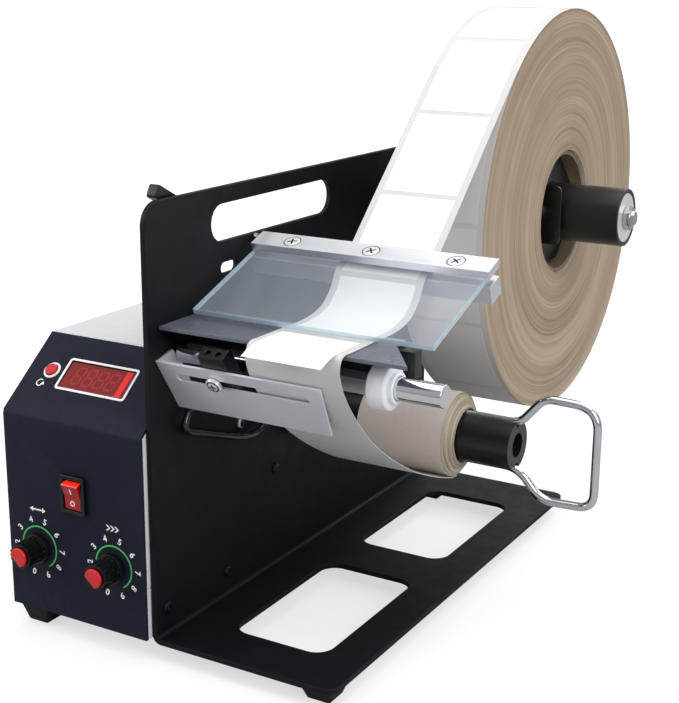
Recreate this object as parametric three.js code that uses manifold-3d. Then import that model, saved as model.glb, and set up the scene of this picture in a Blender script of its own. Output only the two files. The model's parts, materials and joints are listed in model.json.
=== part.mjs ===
// Motorised desktop label dispenser. Millimetres, +Z up, +X along the spindles, +Y to the rear.
//
// The drawing origin is the inner bottom corner of the side plate: X = 0 is the side plate's
// right face, Y = 0 its front edge and Z = 0 the top of the base. Everything is drawn there,
// and the whole group is moved at the end so that its origin is the centre of its footprint.
import * as THREE from 'three';
import { mergeVertices } from 'three/addons/utils/BufferGeometryUtils.js';
import Module from 'manifold-3d';

const wasm = await Module();
wasm.setup();

// ---------------------------------------------------------------- driving dimensions
const GAP = 0.3;                 // clearance left between pieces that touch
const SHEET = 3;                 // steel sheet of the main frame

const PLATE = { depth: 308, top: 230.5, corner: 9.5 };
const BASE = { right: 107, corner: 7 };
const HANDLE = { y0: 56, y1: 177, z0: 201.5, z1: 221.3 };
const WINDOWS = [[30, 132], [167, 269]];
const WINDOW_X = [27, 84];
const FOOT = { top: 20, bottom: 13, ground: -12.5 };

const BOX = { left: -95.5, right: -3.3, front: -4.5, rear: 215, floor: 0, top: 146, seam: 28.6 };
const PANEL = { sheet: 1.8, bendZ: 112, slope: 39.3, slopeLength: 54 };
const WALL = 1.5;
const INNER_FLOOR = BOX.floor + WALL + GAP;
const DISPLAY = { x: -48.5, along: 28.8, width: 43.4, height: 16.8 };
const RESET = { x: -79.6, along: 29.2, radius: 3.4 };
const ROCKER = { x: -48.2, z: 73, width: 13, height: 18.5, pivotY: -1.8, swing: 12 };
const KNOBS = { length: -74.5, speed: -23.5, z: 37.4 };

const REWIND = { y: 136, z: 93, tube: 13.5, tubeEnd: 142, shaft: 5, liner: 23.5 };
const GEAR = { module: 1, teeth: 48, pinionTeeth: 16, x0: -21, x1: -13 };
const BAIL = { wire: 2.3, leg: 12.7, start: 44, end: 186.5, half: 28.8 };

const SUPPLY = { y: 281, z: 196, shaft: 6, sleeve: 17.5, sleeveEnd: 147, core: 38, roll: 122.5 };
const WEB = { left: 55.4, right: 107.3, thickness: 0.3 };

const PEEL = { front: 9, rear: 50, top: 168, right: 139.5, sheet: 2 };
const GUIDE = { y: 25.7, z: 151.4, radius: 5.7, end: 151, collarX: 119.3, collar: 11.4 };
const PRESS = { y: 31.9, z: 172.5, tilt: 20.6, left: 4, glassRight: 141, stripRight: 143.5 };
const GLASS = { length: 70.4, thickness: 3 };
const HINGE = { along: 69.4, height: 2.4, pin: 1.1 };
const STRIP = { from: 59.6, to: 72.6, bottom: 0.3, top: 4.5 };
const BRACKET = { y: 5.4, z: 150.5, tilt: 32.8, length: 34, sheet: 1.2, right: 96, rightLow: 91.5 };
const SENSOR = { x0: 28, x1: 43, screw: 32.7 };
const LEVER = { x: -8.5, y: 47, z: 218.5, length: 34, angle: 152.5 };

// ---------------------------------------------------------------- materials
const material = (color, roughness, metalness = 0, extra = {}) =>
  new THREE.MeshStandardMaterial({ color, roughness, metalness, ...extra });

const MAT = {
  frame: material('#22242b', 0.55, 0.3),
  panel: material('#262830', 0.6, 0.2),
  cover: material('#f1f1ee', 0.5, 0.1),
  rubber: material('#16171a', 0.85),
  red: material('#d3202a', 0.4),
  display: material('#9d1a1d', 0.2),
  blackPlastic: material('#141518', 0.4),
  board: material('#1e5a35', 0.6),
  zinc: material('#a9adb2', 0.4, 0.9),
  brass: material('#b5924c', 0.4, 0.9),
  chrome: material('#d9dbdf', 0.08, 1),
  stainless: material('#b9b5b8', 0.35, 1),
  aluminium: material('#d5d6d9', 0.4, 0.9),
  glass: material('#c4dfe9', 0.05, 0, { transparent: true, opacity: 0.35 }),
  nylon: material('#e9e9ef', 0.45),
  satinBlack: material('#191a1f', 0.45, 0.2),
  paper: material('#f6f6f4', 0.6),
  liner: material('#c2c2c0', 0.5),
  rewound: material('#a59d94', 0.7),
  kraft: material('#8d7a63', 0.85),
};

// ---------------------------------------------------------------- solids
const root = new THREE.Group();

function toSolid(geometry) {
  const bare = geometry.index ? geometry.toNonIndexed() : geometry.clone();
  bare.deleteAttribute('normal');
  bare.deleteAttribute('uv');
  const merged = mergeVertices(bare, 1e-4);
  return new wasm.Manifold(new wasm.Mesh({
    numProp: 3,
    vertProperties: new Float32Array(merged.attributes.position.array),
    triVerts: new Uint32Array(merged.index.array),
  }));
}

function toGeometry(solid) {
  const { vertProperties, triVerts, numProp } = solid.getMesh();
  const points = new Float32Array((vertProperties.length / numProp) * 3);
  for (let i = 0; i < points.length / 3; i += 1) {
    points.set(vertProperties.subarray(i * numProp, i * numProp + 3), i * 3);
  }
  const geometry = new THREE.BufferGeometry();
  geometry.setAttribute('position', new THREE.BufferAttribute(points, 3));
  geometry.setIndex(new THREE.BufferAttribute(new Uint32Array(triVerts), 1));
  return geometry;
}

const join = (first, ...rest) =>
  toGeometry(rest.reduce((all, next) => all.add(toSolid(next)), toSolid(first)));
const cut = (first, ...rest) =>
  toGeometry(rest.reduce((all, next) => all.subtract(toSolid(next)), toSolid(first)));

function add(name, geometry, mat, parent = root) {
  geometry.computeVertexNormals();
  const mesh = new THREE.Mesh(geometry, mat);
  mesh.name = name;
  parent.add(mesh);
  return mesh;
}

function box(x0, x1, y0, y1, z0, z1) {
  const geometry = new THREE.BoxGeometry(x1 - x0, y1 - y0, z1 - z0);
  return geometry.translate((x0 + x1) / 2, (y0 + y1) / 2, (z0 + z1) / 2);
}

// Extrusions. The first outline coordinate pair is named by the plane it is drawn in.
const extrude = (shape, depth, segments = 4) =>
  new THREE.ExtrudeGeometry(shape, { depth, bevelEnabled: false, curveSegments: segments });

function extrudeYZ(shape, x0, x1, segments) {
  const swap = new THREE.Matrix4().set(0, 0, 1, x0, 1, 0, 0, 0, 0, 1, 0, 0, 0, 0, 0, 1);
  return extrude(shape, x1 - x0, segments).applyMatrix4(swap);
}

function extrudeXZ(shape, y0, y1, segments) {
  return extrude(shape, y1 - y0, segments).rotateX(Math.PI / 2).translate(0, y1, 0);
}

function extrudeXY(shape, z0, z1, segments) {
  return extrude(shape, z1 - z0, segments).translate(0, 0, z0);
}

const polygon = (points) => new THREE.Shape(points.map(([a, b]) => new THREE.Vector2(a, b)));

// Rectangle with one radius per corner: low-low, high-low, high-high, low-high.
function roundRect(a0, a1, b0, b1, radii) {
  const [r0, r1, r2, r3] = Array.isArray(radii) ? radii : [radii, radii, radii, radii];
  const shape = new THREE.Shape();
  shape.moveTo(a0 + r0, b0);
  shape.lineTo(a1 - r1, b0);
  if (r1) shape.absarc(a1 - r1, b0 + r1, r1, -Math.PI / 2, 0, false);
  shape.lineTo(a1, b1 - r2);
  if (r2) shape.absarc(a1 - r2, b1 - r2, r2, 0, Math.PI / 2, false);
  shape.lineTo(a0 + r3, b1);
  if (r3) shape.absarc(a0 + r3, b1 - r3, r3, Math.PI / 2, Math.PI, false);
  shape.lineTo(a0, b0 + r0);
  if (r0) shape.absarc(a0 + r0, b0 + r0, r0, Math.PI, 1.5 * Math.PI, false);
  return shape;
}

function circle(a, b, radius) {
  return new THREE.Shape().absarc(a, b, radius, 0, 2 * Math.PI, false);
}

// Turned piece about an X axis: profile points are [x, radius] and close on themselves.
function turned(profile, y, z, segments = 32) {
  const points = profile.map(([x, r]) => new THREE.Vector2(r, x));
  return new THREE.LatheGeometry(points, segments).rotateZ(-Math.PI / 2).translate(0, y, z);
}

const rod = (radius, x0, x1, y, z, segments = 32) =>
  turned([[x0, 0], [x0, radius], [x1, radius], [x1, 0]], y, z, segments);
const tube = (outer, inner, x0, x1, y, z, segments = 32) =>
  turned([[x0, inner], [x0, outer], [x1, outer], [x1, inner], [x0, inner]], y, z, segments);

// A group set down in the side view with its local Y turned up by an angle.
function tilted(y, z, degrees) {
  const group = new THREE.Group();
  group.position.set(0, y, z);
  group.rotation.x = THREE.MathUtils.degToRad(degrees);
  root.add(group);
  return group;
}

// ---------------------------------------------------------------- frame and feet
function mainFrame() {
  const inner = 2;
  const outer = inner + SHEET;
  const side = roundRect(0, PLATE.depth, inner + 1, PLATE.top, [0, 0, PLATE.corner, PLATE.corner]);
  const slotRadius = (HANDLE.z1 - HANDLE.z0) / 2;
  side.holes.push(roundRect(HANDLE.y0, HANDLE.y1, HANDLE.z0, HANDLE.z1, slotRadius));
  side.holes.push(roundRect(64, 79, 184, 190, 3));
  side.holes.push(circle(REWIND.y, REWIND.z, REWIND.shaft + 1));
  side.holes.push(circle(GUIDE.y, GUIDE.z, 4));
  side.holes.push(circle(92, 104, 3.6));

  const base = roundRect(inner + 1, BASE.right, 0, PLATE.depth, [0, BASE.corner, BASE.corner, 0]);
  WINDOWS.forEach(([y0, y1]) => base.holes.push(roundRect(...WINDOW_X, y0, y1, 10)));

  const bend = new THREE.Shape();
  bend.moveTo(0, inner + 3);
  bend.lineTo(0, inner);
  bend.absarc(inner, inner, inner, Math.PI, 1.5 * Math.PI, false);
  bend.lineTo(inner + 3, 0);
  bend.lineTo(inner + 3, -SHEET);
  bend.lineTo(inner, -SHEET);
  bend.absarc(inner, inner, outer, 1.5 * Math.PI, Math.PI, true);
  bend.lineTo(-SHEET, inner + 3);

  return join(
    extrudeYZ(side, -SHEET, 0, 5),
    extrudeXY(base, -SHEET, 0, 4),
    extrudeXZ(bend, 0, PLATE.depth, 3),
  );
}

function foot(x, y, top) {
  const height = top - FOOT.ground;
  const half = Math.SQRT1_2;
  const geometry = new THREE.CylinderGeometry(FOOT.top * half, FOOT.bottom * half, height, 4);
  return geometry.rotateY(Math.PI / 4).rotateX(Math.PI / 2).translate(x, y, top - height / 2);
}

// ---------------------------------------------------------------- control box
const slopeRad = THREE.MathUtils.degToRad(PANEL.slope);
const along = { y: Math.cos(slopeRad), z: Math.sin(slopeRad) };

// Outline of the panel's sheet, set back by a distance from its outer face.
function panelLine(setback, topZ) {
  const front = BOX.front + setback;
  const y = BOX.front + setback * along.z;
  const z = PANEL.bendZ - setback * along.y;
  const cornerZ = z + ((front - y) / along.y) * along.z;
  const topY = y + ((topZ - z) / along.z) * along.y;
  return { front, cornerZ, topY };
}

function frontPanel() {
  const outer = panelLine(0, BOX.top);
  const inner = panelLine(PANEL.sheet, BOX.top - PANEL.sheet * along.y);
  const sheet = polygon([
    [outer.front, BOX.floor], [outer.front, outer.cornerZ - 2.2],
    [outer.front + 0.7, outer.cornerZ + 0.6], [outer.topY, BOX.top],
    [inner.topY, BOX.top - PANEL.sheet * along.y],
    [inner.front, inner.cornerZ], [inner.front, BOX.floor],
  ]);
  const window = onSlope(box(-DISPLAY.width / 2 - GAP, DISPLAY.width / 2 + GAP,
    -DISPLAY.height / 2 - GAP, DISPLAY.height / 2 + GAP, -8, 8), DISPLAY.x, DISPLAY.along);
  const resetHole = onSlope(new THREE.CylinderGeometry(4.3, 4.3, 12, 24).rotateX(Math.PI / 2),
    RESET.x, RESET.along);
  const rockerHole = box(ROCKER.x - ROCKER.width / 2 - GAP, ROCKER.x + ROCKER.width / 2 + GAP,
    -12, 4, ROCKER.z - ROCKER.height / 2 - GAP, ROCKER.z + ROCKER.height / 2 + GAP);
  const knobHoles = [KNOBS.length, KNOBS.speed].map((x) => alongY(3.8, -12, 4, x, KNOBS.z, 20));
  return cut(extrudeYZ(sheet, BOX.left, BOX.right), window, resetHole, rockerHole, ...knobHoles);
}

// Cylinder about a Y axis.
function alongY(radius, y0, y1, x, z, segments = 24) {
  return new THREE.CylinderGeometry(radius, radius, y1 - y0, segments)
    .translate(x, (y0 + y1) / 2, z);
}

// Puts a piece on the sloping face: its local Y runs up the slope and its Z points outwards.
function onSlope(geometry, x, distance) {
  return geometry.rotateX(slopeRad)
    .translate(x, BOX.front + distance * along.y, PANEL.bendZ + distance * along.z);
}

function boxCover() {
  const bottom = BOX.seam + GAP;
  const shellLine = (setback, topZ, rear, low) => {
    const line = panelLine(setback, topZ);
    return polygon([[line.front, low], [line.front, line.cornerZ], [line.topY, topZ],
      [rear, topZ], [rear, low]]);
  };
  const start = PANEL.sheet + GAP;
  const outer = extrudeYZ(shellLine(start, BOX.top, BOX.rear, bottom), BOX.left, BOX.right);
  const lowered = BOX.top - WALL;
  const room = panelLine(start - 4, lowered);
  const inner = extrudeYZ(polygon([[room.front, 0], [room.front, room.cornerZ],
    [panelLine(start, lowered).topY - 1, lowered], [BOX.rear - WALL, lowered],
    [BOX.rear - WALL, 0]]), BOX.left + WALL, BOX.right - WALL);
  const bearingHole = rod(14, -10, 0, REWIND.y, REWIND.z, 32);
  const grommetHole = rod(6, -10, 0, 92, 104, 20);
  const inletHole = box(-72, -44, BOX.rear - 5, BOX.rear + 5, 40, 61);
  return cut(outer, inner, bearingHole, grommetHole, inletHole);
}

function boxTray() {
  const front = BOX.front + PANEL.sheet + GAP;
  return cut(
    box(BOX.left, BOX.right, front, BOX.rear, BOX.floor, BOX.seam),
    box(BOX.left + WALL, BOX.right - WALL, front - 5, BOX.rear - WALL,
      BOX.floor + WALL, BOX.seam + 5),
  );
}

// ---------------------------------------------------------------- controls on the panel
function switchHousing() {
  const flange = extrudeXZ(roundRect(ROCKER.x - 8.4, ROCKER.x + 8.4, ROCKER.z - 10.7,
    ROCKER.z + 10.7, 1.5), BOX.front - 2.3, BOX.front - GAP, 4);
  const body = box(ROCKER.x - ROCKER.width / 2, ROCKER.x + ROCKER.width / 2, BOX.front - 1, 12,
    ROCKER.z - ROCKER.height / 2, ROCKER.z + ROCKER.height / 2);
  const well = box(ROCKER.x - 5.8, ROCKER.x + 5.8, BOX.front - 5, 6, ROCKER.z - 8.6,
    ROCKER.z + 8.6);
  return cut(join(flange, body), well);
}

// Rocker with two faces at a shallow angle, drawn level about its pivot and then turned so that
// it rests with its lower half pressed in.
function powerRocker() {
  const outline = polygon([[-5.8, 7.2], [-4.6, 0], [-5.8, -7.2], [-5, -7.7], [-1.5, -7.7],
    [3.5, -3.2], [3.5, 3.2], [-1.5, 7.7], [-5, 7.7]]);
  return extrudeYZ(outline, ROCKER.x - 5.4, ROCKER.x + 5.4)
    .rotateX(THREE.MathUtils.degToRad(ROCKER.swing))
    .translate(0, ROCKER.pivotY, ROCKER.z);
}

function knob(x) {
  const flutes = 18;
  const grip = new THREE.Shape();
  for (let i = 0; i < flutes * 4; i += 1) {
    const angle = (i / (flutes * 4)) * 2 * Math.PI;
    const radius = 6.9 + (i % 4 < 2 ? 0.35 : -0.25);
    grip[i ? 'lineTo' : 'moveTo'](x + radius * Math.cos(angle), KNOBS.z + radius * Math.sin(angle));
  }
  const skirt = alongY(8.4, BOX.front - 4.5, BOX.front - 1, x, KNOBS.z, 32);
  const barrel = extrudeXZ(grip, -19.8, BOX.front - 4);
  const bore = alongY(3.4, -14, 0, x, KNOBS.z, 16);
  return cut(join(skirt, barrel), bore);
}

function knobCap(x) {
  const disc = alongY(5.5, -21.9, -20.1, x, KNOBS.z, 28);
  return cut(disc, box(x - 0.5, x + 0.5, -23, -21.3, KNOBS.z, KNOBS.z + 7));
}

function potentiometer(x) {
  const can = alongY(8, -2.4, 9, x, KNOBS.z, 24);
  const bush = alongY(3.4, BOX.front - 0.6, 0, x, KNOBS.z, 20);
  const shaft = alongY(3, -13, 0, x, KNOBS.z, 20);
  const lugs = box(x - 6, x + 6, 2, 3.4, KNOBS.z - 14, KNOBS.z);
  return join(can, bush, shaft, lugs);
}

// ---------------------------------------------------------------- drive
// Spur gear about an X axis with straight-flanked teeth.
function spurGear(teeth, phase, x0, x1, y, z, bore) {
  const pitch = (GEAR.module * teeth) / 2;
  const outer = pitch + GEAR.module * 0.85;
  const inner = pitch - GEAR.module * 1.15;
  const step = (2 * Math.PI) / teeth;
  const shape = new THREE.Shape();
  for (let i = 0; i < teeth; i += 1) {
    const centre = i * step + phase;
    [[-0.31, inner], [-0.12, outer], [0.12, outer], [0.31, inner]].forEach(([part, radius], k) => {
      const angle = centre + part * step;
      const point = [radius * Math.cos(angle), radius * Math.sin(angle)];
      if (i === 0 && k === 0) shape.moveTo(...point);
      else shape.lineTo(...point);
    });
  }
  if (bore) shape.holes.push(circle(0, 0, bore));
  return extrudeYZ(shape, x0, x1, 8).translate(0, y, z);
}

const pinionZ = REWIND.z - (GEAR.module * (GEAR.teeth + GEAR.pinionTeeth)) / 2;

function gearMotor() {
  const head = box(-39, -24, 120, 152, pinionZ - 16, pinionZ + 16);
  const can = rod(15, -82, -38, REWIND.y, pinionZ, 28);
  const cradle = box(-76, -26, 119, 153, INNER_FLOOR, pinionZ - 12);
  return cut(join(head, can, cradle), rod(3.4, -34, -20, REWIND.y, pinionZ, 16));
}

function motorPinion() {
  const step = (2 * Math.PI) / GEAR.pinionTeeth;
  const gear = spurGear(GEAR.pinionTeeth, Math.PI / 2 + step / 2, GEAR.x0, GEAR.x1,
    REWIND.y, pinionZ, 0);
  return join(gear, rod(3, -33, GEAR.x0 + 1, REWIND.y, pinionZ, 16));
}

function rewindBearing() {
  return turned([[-11, 5.3], [-11, 9.5], [-5.5, 9.5], [-5.5, 13], [-3.3, 13], [-3.3, 5.3],
    [-11, 5.3]], REWIND.y, REWIND.z, 32);
}

function rewindTube() {
  const body = turned([[3, 5.3], [3, REWIND.tube], [REWIND.tubeEnd, REWIND.tube],
    [REWIND.tubeEnd, 6.7], [136, 6.7], [136, 5.3], [3, 5.3]], REWIND.y, REWIND.z, 32);
  const grooves = [1, -1].map((side) =>
    rod(BAIL.wire + GAP, BAIL.start - 4, REWIND.tubeEnd + 5, REWIND.y,
      REWIND.z + side * BAIL.leg, 16));
  const collar = rod(18, 3, 5.5, REWIND.y, REWIND.z, 32);
  return cut(join(body, collar), ...grooves, rod(5.3, 0, 6, REWIND.y, REWIND.z, 24));
}

function rewindBail() {
  const point = (x, side, reach) =>
    new THREE.Vector3(x, REWIND.y, REWIND.z + side * reach);
  const path = new THREE.CurvePath();
  const corners = [
    point(BAIL.start, 1, BAIL.leg), point(143, 1, BAIL.leg), point(156.5, 1, BAIL.half),
    point(BAIL.end, 1, BAIL.half - 1), point(BAIL.end, -1, BAIL.half - 1),
    point(156.5, -1, BAIL.half), point(143, -1, BAIL.leg), point(BAIL.start, -1, BAIL.leg),
  ];
  const radii = [0, 6, 6, 8, 8, 6, 6, 0];
  let from = corners[0];
  for (let i = 1; i < corners.length - 1; i += 1) {
    const back = corners[i - 1].clone().sub(corners[i]).setLength(radii[i]).add(corners[i]);
    const on = corners[i + 1].clone().sub(corners[i]).setLength(radii[i]).add(corners[i]);
    path.add(new THREE.LineCurve3(from, back));
    path.add(new THREE.QuadraticBezierCurve3(back, corners[i], on));
    from = on;
  }
  path.add(new THREE.LineCurve3(from, corners[corners.length - 1]));
  const section = circle(0, 0, BAIL.wire);
  return new THREE.ExtrudeGeometry(section, { steps: 72, extrudePath: path, curveSegments: 5 });
}

// ---------------------------------------------------------------- supply spindle
function coreHolder() {
  const octagon = new THREE.Shape();
  for (let i = 0; i < 8; i += 1) {
    const angle = (i + 0.5) * (Math.PI / 4);
    const x = 34.6 * Math.cos(angle);
    octagon[i ? 'lineTo' : 'moveTo'](x, 34.6 * Math.sin(angle));
  }
  const disc = (x0, x1) => extrudeYZ(octagon, x0, x1).translate(0, SUPPLY.y, SUPPLY.z);
  const barrel = rod(24, 60, 98, SUPPLY.y, SUPPLY.z, 32);
  return cut(join(barrel, disc(58, 64), disc(92, 98)),
    rod(SUPPLY.sleeve + GAP, 50, 110, SUPPLY.y, SUPPLY.z, 40));
}

function coreClip() {
  const foot = box(98.3, 99.5, SUPPLY.y - 29.5, SUPPLY.y - 20.5, SUPPLY.z - 17, SUPPLY.z + 17);
  const tab = extrudeXZ(roundRect(98.3, 113, SUPPLY.z - 17, SUPPLY.z + 19, [0, 4, 4, 0]),
    SUPPLY.y - 21.7, SUPPLY.y - 20.5, 5);
  return join(foot, tab);
}

function spindleSleeve() {
  const end = SUPPLY.sleeveEnd;
  return turned([[12, SUPPLY.shaft + GAP], [12, 21], [14.5, 21], [14.5, SUPPLY.sleeve],
    [end, SUPPLY.sleeve], [end, 15.4], [end - 1.8, 15.4], [end - 1.8, SUPPLY.shaft + GAP],
    [12, SUPPLY.shaft + GAP]], SUPPLY.y, SUPPLY.z, 32);
}

function supplyShaft() {
  const end = SUPPLY.sleeveEnd - 1.8;
  return turned([[GAP, 0], [GAP, 22], [5, 22], [5, 11], [11.5, 11], [11.5, SUPPLY.shaft],
    [end, SUPPLY.shaft], [end, 0]], SUPPLY.y, SUPPLY.z, 32);
}

function endNut() {
  const start = SUPPLY.sleeveEnd;
  const nut = new THREE.CylinderGeometry(7.5, 7.5, 3, 6).rotateZ(Math.PI / 2)
    .translate(start + 1.5, SUPPLY.y, SUPPLY.z);
  const head = turned([[start + 2, 0], [start + 2, 6.6], [start + 3.6, 6.6], [start + 3.6, 4.6],
    [start + 5.6, 4.1], [start + 5.6, 1.8], [start + 4.4, 1.8], [start + 4.4, 0]],
  SUPPLY.y, SUPPLY.z, 28);
  return join(nut, head);
}

// ---------------------------------------------------------------- web
// Centre line of the web in the side view, from the supply roll to the rewound roll.
function webLine() {
  const flatZ = PEEL.top + GAP + WEB.thickness / 2;
  const wrap = SUPPLY.roll + GAP + WEB.thickness / 2;
  const through = { y: 89.4, z: 188.2 };
  const toCentre = Math.hypot(SUPPLY.y - through.y, SUPPLY.z - through.z);
  const aim = Math.atan2(SUPPLY.z - through.z, SUPPLY.y - through.y)
    + Math.asin(wrap / toCentre);
  const points = [];
  const run = Math.sqrt(toCentre ** 2 - wrap ** 2);
  points.push([through.y + run * Math.cos(aim), through.z + run * Math.sin(aim)]);
  const overBar = pressPoint(71.2, -GLASS.thickness - 0.6);
  points.push([overBar.y, overBar.z]);
  const sag = new THREE.CatmullRomCurve3([
    pressPoint(69.6, -GLASS.thickness - 0.7), pressPoint(60.6, -GLASS.thickness - 1.2),
    new THREE.Vector3(0, 83.5, 179.6), new THREE.Vector3(0, 76, 173),
    new THREE.Vector3(0, 66.5, 169.7), new THREE.Vector3(0, 56, flatZ),
    new THREE.Vector3(0, 34, flatZ), new THREE.Vector3(0, 14, flatZ),
    new THREE.Vector3(0, 9, flatZ + 0.1), new THREE.Vector3(0, 5.9, 167.2),
    new THREE.Vector3(0, 4.4, 164.4),
    new THREE.Vector3(0, 3.9, 161), new THREE.Vector3(0, 5.1, 156.2),
    new THREE.Vector3(0, 8.7, 149), new THREE.Vector3(0, 14.3, 140.9),
    new THREE.Vector3(0, 23.7, 130.2), new THREE.Vector3(0, 35.8, 118.5),
    new THREE.Vector3(0, 54.9, 104.3), new THREE.Vector3(0, 84.2, 87.4),
    new THREE.Vector3(0, 103.4, 78.8), new THREE.Vector3(0, 118.4, 73.1),
    new THREE.Vector3(0, 129, 69.7),
  ], false, 'centripetal');
  sag.getSpacedPoints(56).forEach((p) => points.push([p.y, p.z]));
  points.push([REWIND.y - 1, REWIND.z - REWIND.liner - GAP - WEB.thickness / 2]);
  return points;
}

function labelWeb() {
  const line = webLine();
  const half = WEB.thickness / 2;
  const offset = (side) => line.map(([y, z], i) => {
    const [y0, z0] = line[Math.max(i - 1, 0)];
    const [y1, z1] = line[Math.min(i + 1, line.length - 1)];
    const length = Math.hypot(y1 - y0, z1 - z0);
    return [y + (side * half * (z1 - z0)) / length, z - (side * half * (y1 - y0)) / length];
  });
  return extrudeYZ(polygon([...offset(1), ...offset(-1).reverse()]), WEB.left, WEB.right);
}

// ---------------------------------------------------------------- press plate
const pressRad = THREE.MathUtils.degToRad(PRESS.tilt);

// A point of the tilted press plate in the side view: distance up the glass, height above it.
function pressPoint(distance, height) {
  return new THREE.Vector3(0,
    PRESS.y + distance * Math.cos(pressRad) - height * Math.sin(pressRad),
    PRESS.z + distance * Math.sin(pressRad) + height * Math.cos(pressRad));
}

const SCREW_X = [26.5, 74.4, 122.8];
const screwAlong = (STRIP.from + STRIP.to) / 2;
const CONE = 2.8;                 // height of a countersunk head

// Countersunk screw, or the seat for one, standing on local Z. The screw has a round recess.
function countersunk(x, y, top, length, headRadius, shankRadius, recess) {
  const profile = [[0, top - length], [shankRadius, top - length], [shankRadius, top - CONE],
    [headRadius, top], [recess, top], [recess, top - 0.9], [0, top - 0.9]];
  if (!recess) profile.splice(4, 3, [0, top]);
  const points = profile.map(([r, z]) => new THREE.Vector2(r, z));
  return new THREE.LatheGeometry(points, 24).rotateX(Math.PI / 2).translate(x, y, 0);
}

function clampStrip() {
  const bar = extrudeYZ(polygon([[STRIP.from, STRIP.bottom], [STRIP.to - 1.6, STRIP.bottom],
    [STRIP.to, STRIP.bottom + 1.6], [STRIP.to, STRIP.top], [STRIP.from, STRIP.top]]),
  PRESS.left, PRESS.stripRight);
  const seats = SCREW_X.map((x) =>
    countersunk(x, screwAlong, STRIP.top + 0.05, 8, 5.15, 2, 0));
  const pinBore = rod(1.4, 0, 16, HINGE.along, HINGE.height, 16);
  return cut(bar, ...seats, pinBore);
}

function glassPlate() {
  const holes = SCREW_X.map((x) => new THREE.CylinderGeometry(2, 2, 10, 20)
    .rotateX(Math.PI / 2).translate(x, screwAlong, 0));
  return cut(box(PRESS.left, PRESS.glassRight, 0, GLASS.length, -GLASS.thickness, 0), ...holes);
}

// ---------------------------------------------------------------- sensor
function sensorBracket() {
  const face = polygon([[GAP, 0], [BRACKET.right, 0], [BRACKET.rightLow, -BRACKET.length],
    [GAP, -BRACKET.length]]);
  face.holes.push(roundRect(9, 87, -12, -6.8, 2.6));
  const flange = polygon([[0, 0], [12.6, -3.9], [14.3, -14.6], [14, -31], [0, -BRACKET.length]]);
  return join(
    extrudeXZ(face, 0, BRACKET.sheet, 6),
    extrudeYZ(flange, GAP, GAP + BRACKET.sheet),
  );
}

function sensorHead() {
  const block = extrudeYZ(polygon([[1.5, -16], [9, -16], [10, -13], [10, 6], [8.5, 8], [1.5, 8]]),
    SENSOR.x0, SENSOR.x1);
  const lenses = [SENSOR.x0 + 4.5, SENSOR.x1 - 4.5].map((x) =>
    new THREE.CylinderGeometry(1.5, 1.5, 4, 16).rotateX(Math.PI / 2).translate(x, 5, 8));
  const thread = alongY(1.9, 0, 7, SENSOR.screw, -9.3, 16);
  return cut(block, ...lenses, thread);
}

function sensorLockScrew() {
  const head = alongY(4.3, -2.6, -GAP, SENSOR.screw, -9.3, 24);
  const shank = alongY(1.6, -1, 6.5, SENSOR.screw, -9.3, 16);
  return cut(join(head, shank), box(SENSOR.screw - 5, SENSOR.screw + 5, -3, -1.5, -9.8, -8.8));
}

function sensorCable() {
  const route = new THREE.CatmullRomCurve3([
    new THREE.Vector3(35, 18.9, 139.7), new THREE.Vector3(34.6, 20.9, 136.6),
    new THREE.Vector3(29, 22.9, 132.6), new THREE.Vector3(19, 24.2, 130.5),
    new THREE.Vector3(9.5, 26.1, 127.6), new THREE.Vector3(5.2, 28.6, 122.5),
    new THREE.Vector3(4.8, 24.6, 117.2), new THREE.Vector3(4.8, 22.4, 112.6),
    new THREE.Vector3(4.8, 26, 108.6), new THREE.Vector3(4.8, 36, 104.6),
    new THREE.Vector3(4.8, 52, 98.8), new THREE.Vector3(4.8, 68, 93.2),
    new THREE.Vector3(4.8, 80, 90.2), new THREE.Vector3(4.8, 91, 90),
    new THREE.Vector3(5, 98.5, 94), new THREE.Vector3(5.6, 99.2, 100),
    new THREE.Vector3(6, 95, 103.8), new THREE.Vector3(2.9, 92.05, 104),
    new THREE.Vector3(-1, 92, 104), new THREE.Vector3(-12, 92, 104),
  ], false, 'centripetal');
  return new THREE.ExtrudeGeometry(circle(0, 0, 1.9),
    { steps: 72, extrudePath: route, curveSegments: 4 });
}

// ---------------------------------------------------------------- lever behind the plate
function releaseLever() {
  const blade = roundRect(-6, LEVER.length, -3.6, 3.6, [3.6, 1.5, 1.5, 3.6]);
  blade.holes.push(circle(0, 0, 2.6));
  return extrudeYZ(blade, LEVER.x - 2, LEVER.x + 4, 6)
    .rotateX(THREE.MathUtils.degToRad(LEVER.angle))
    .translate(0, LEVER.y, LEVER.z);
}

// ---------------------------------------------------------------- assembly
add('main_frame', mainFrame(), MAT.frame);
add('foot_base_front', foot(94, 14.5, -SHEET - GAP), MAT.rubber);
add('foot_base_rear', foot(91, 289, -SHEET - GAP), MAT.rubber);
add('foot_base_inner', foot(18, 289, -SHEET - GAP), MAT.rubber);
add('foot_box_front', foot(-85, 9, BOX.floor - GAP), MAT.rubber);
add('foot_box_rear', foot(-85, 200, BOX.floor - GAP), MAT.rubber);

add('front_panel', frontPanel(), MAT.panel);
add('box_cover', boxCover(), MAT.cover);
add('box_tray', boxTray(), MAT.cover);

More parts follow.
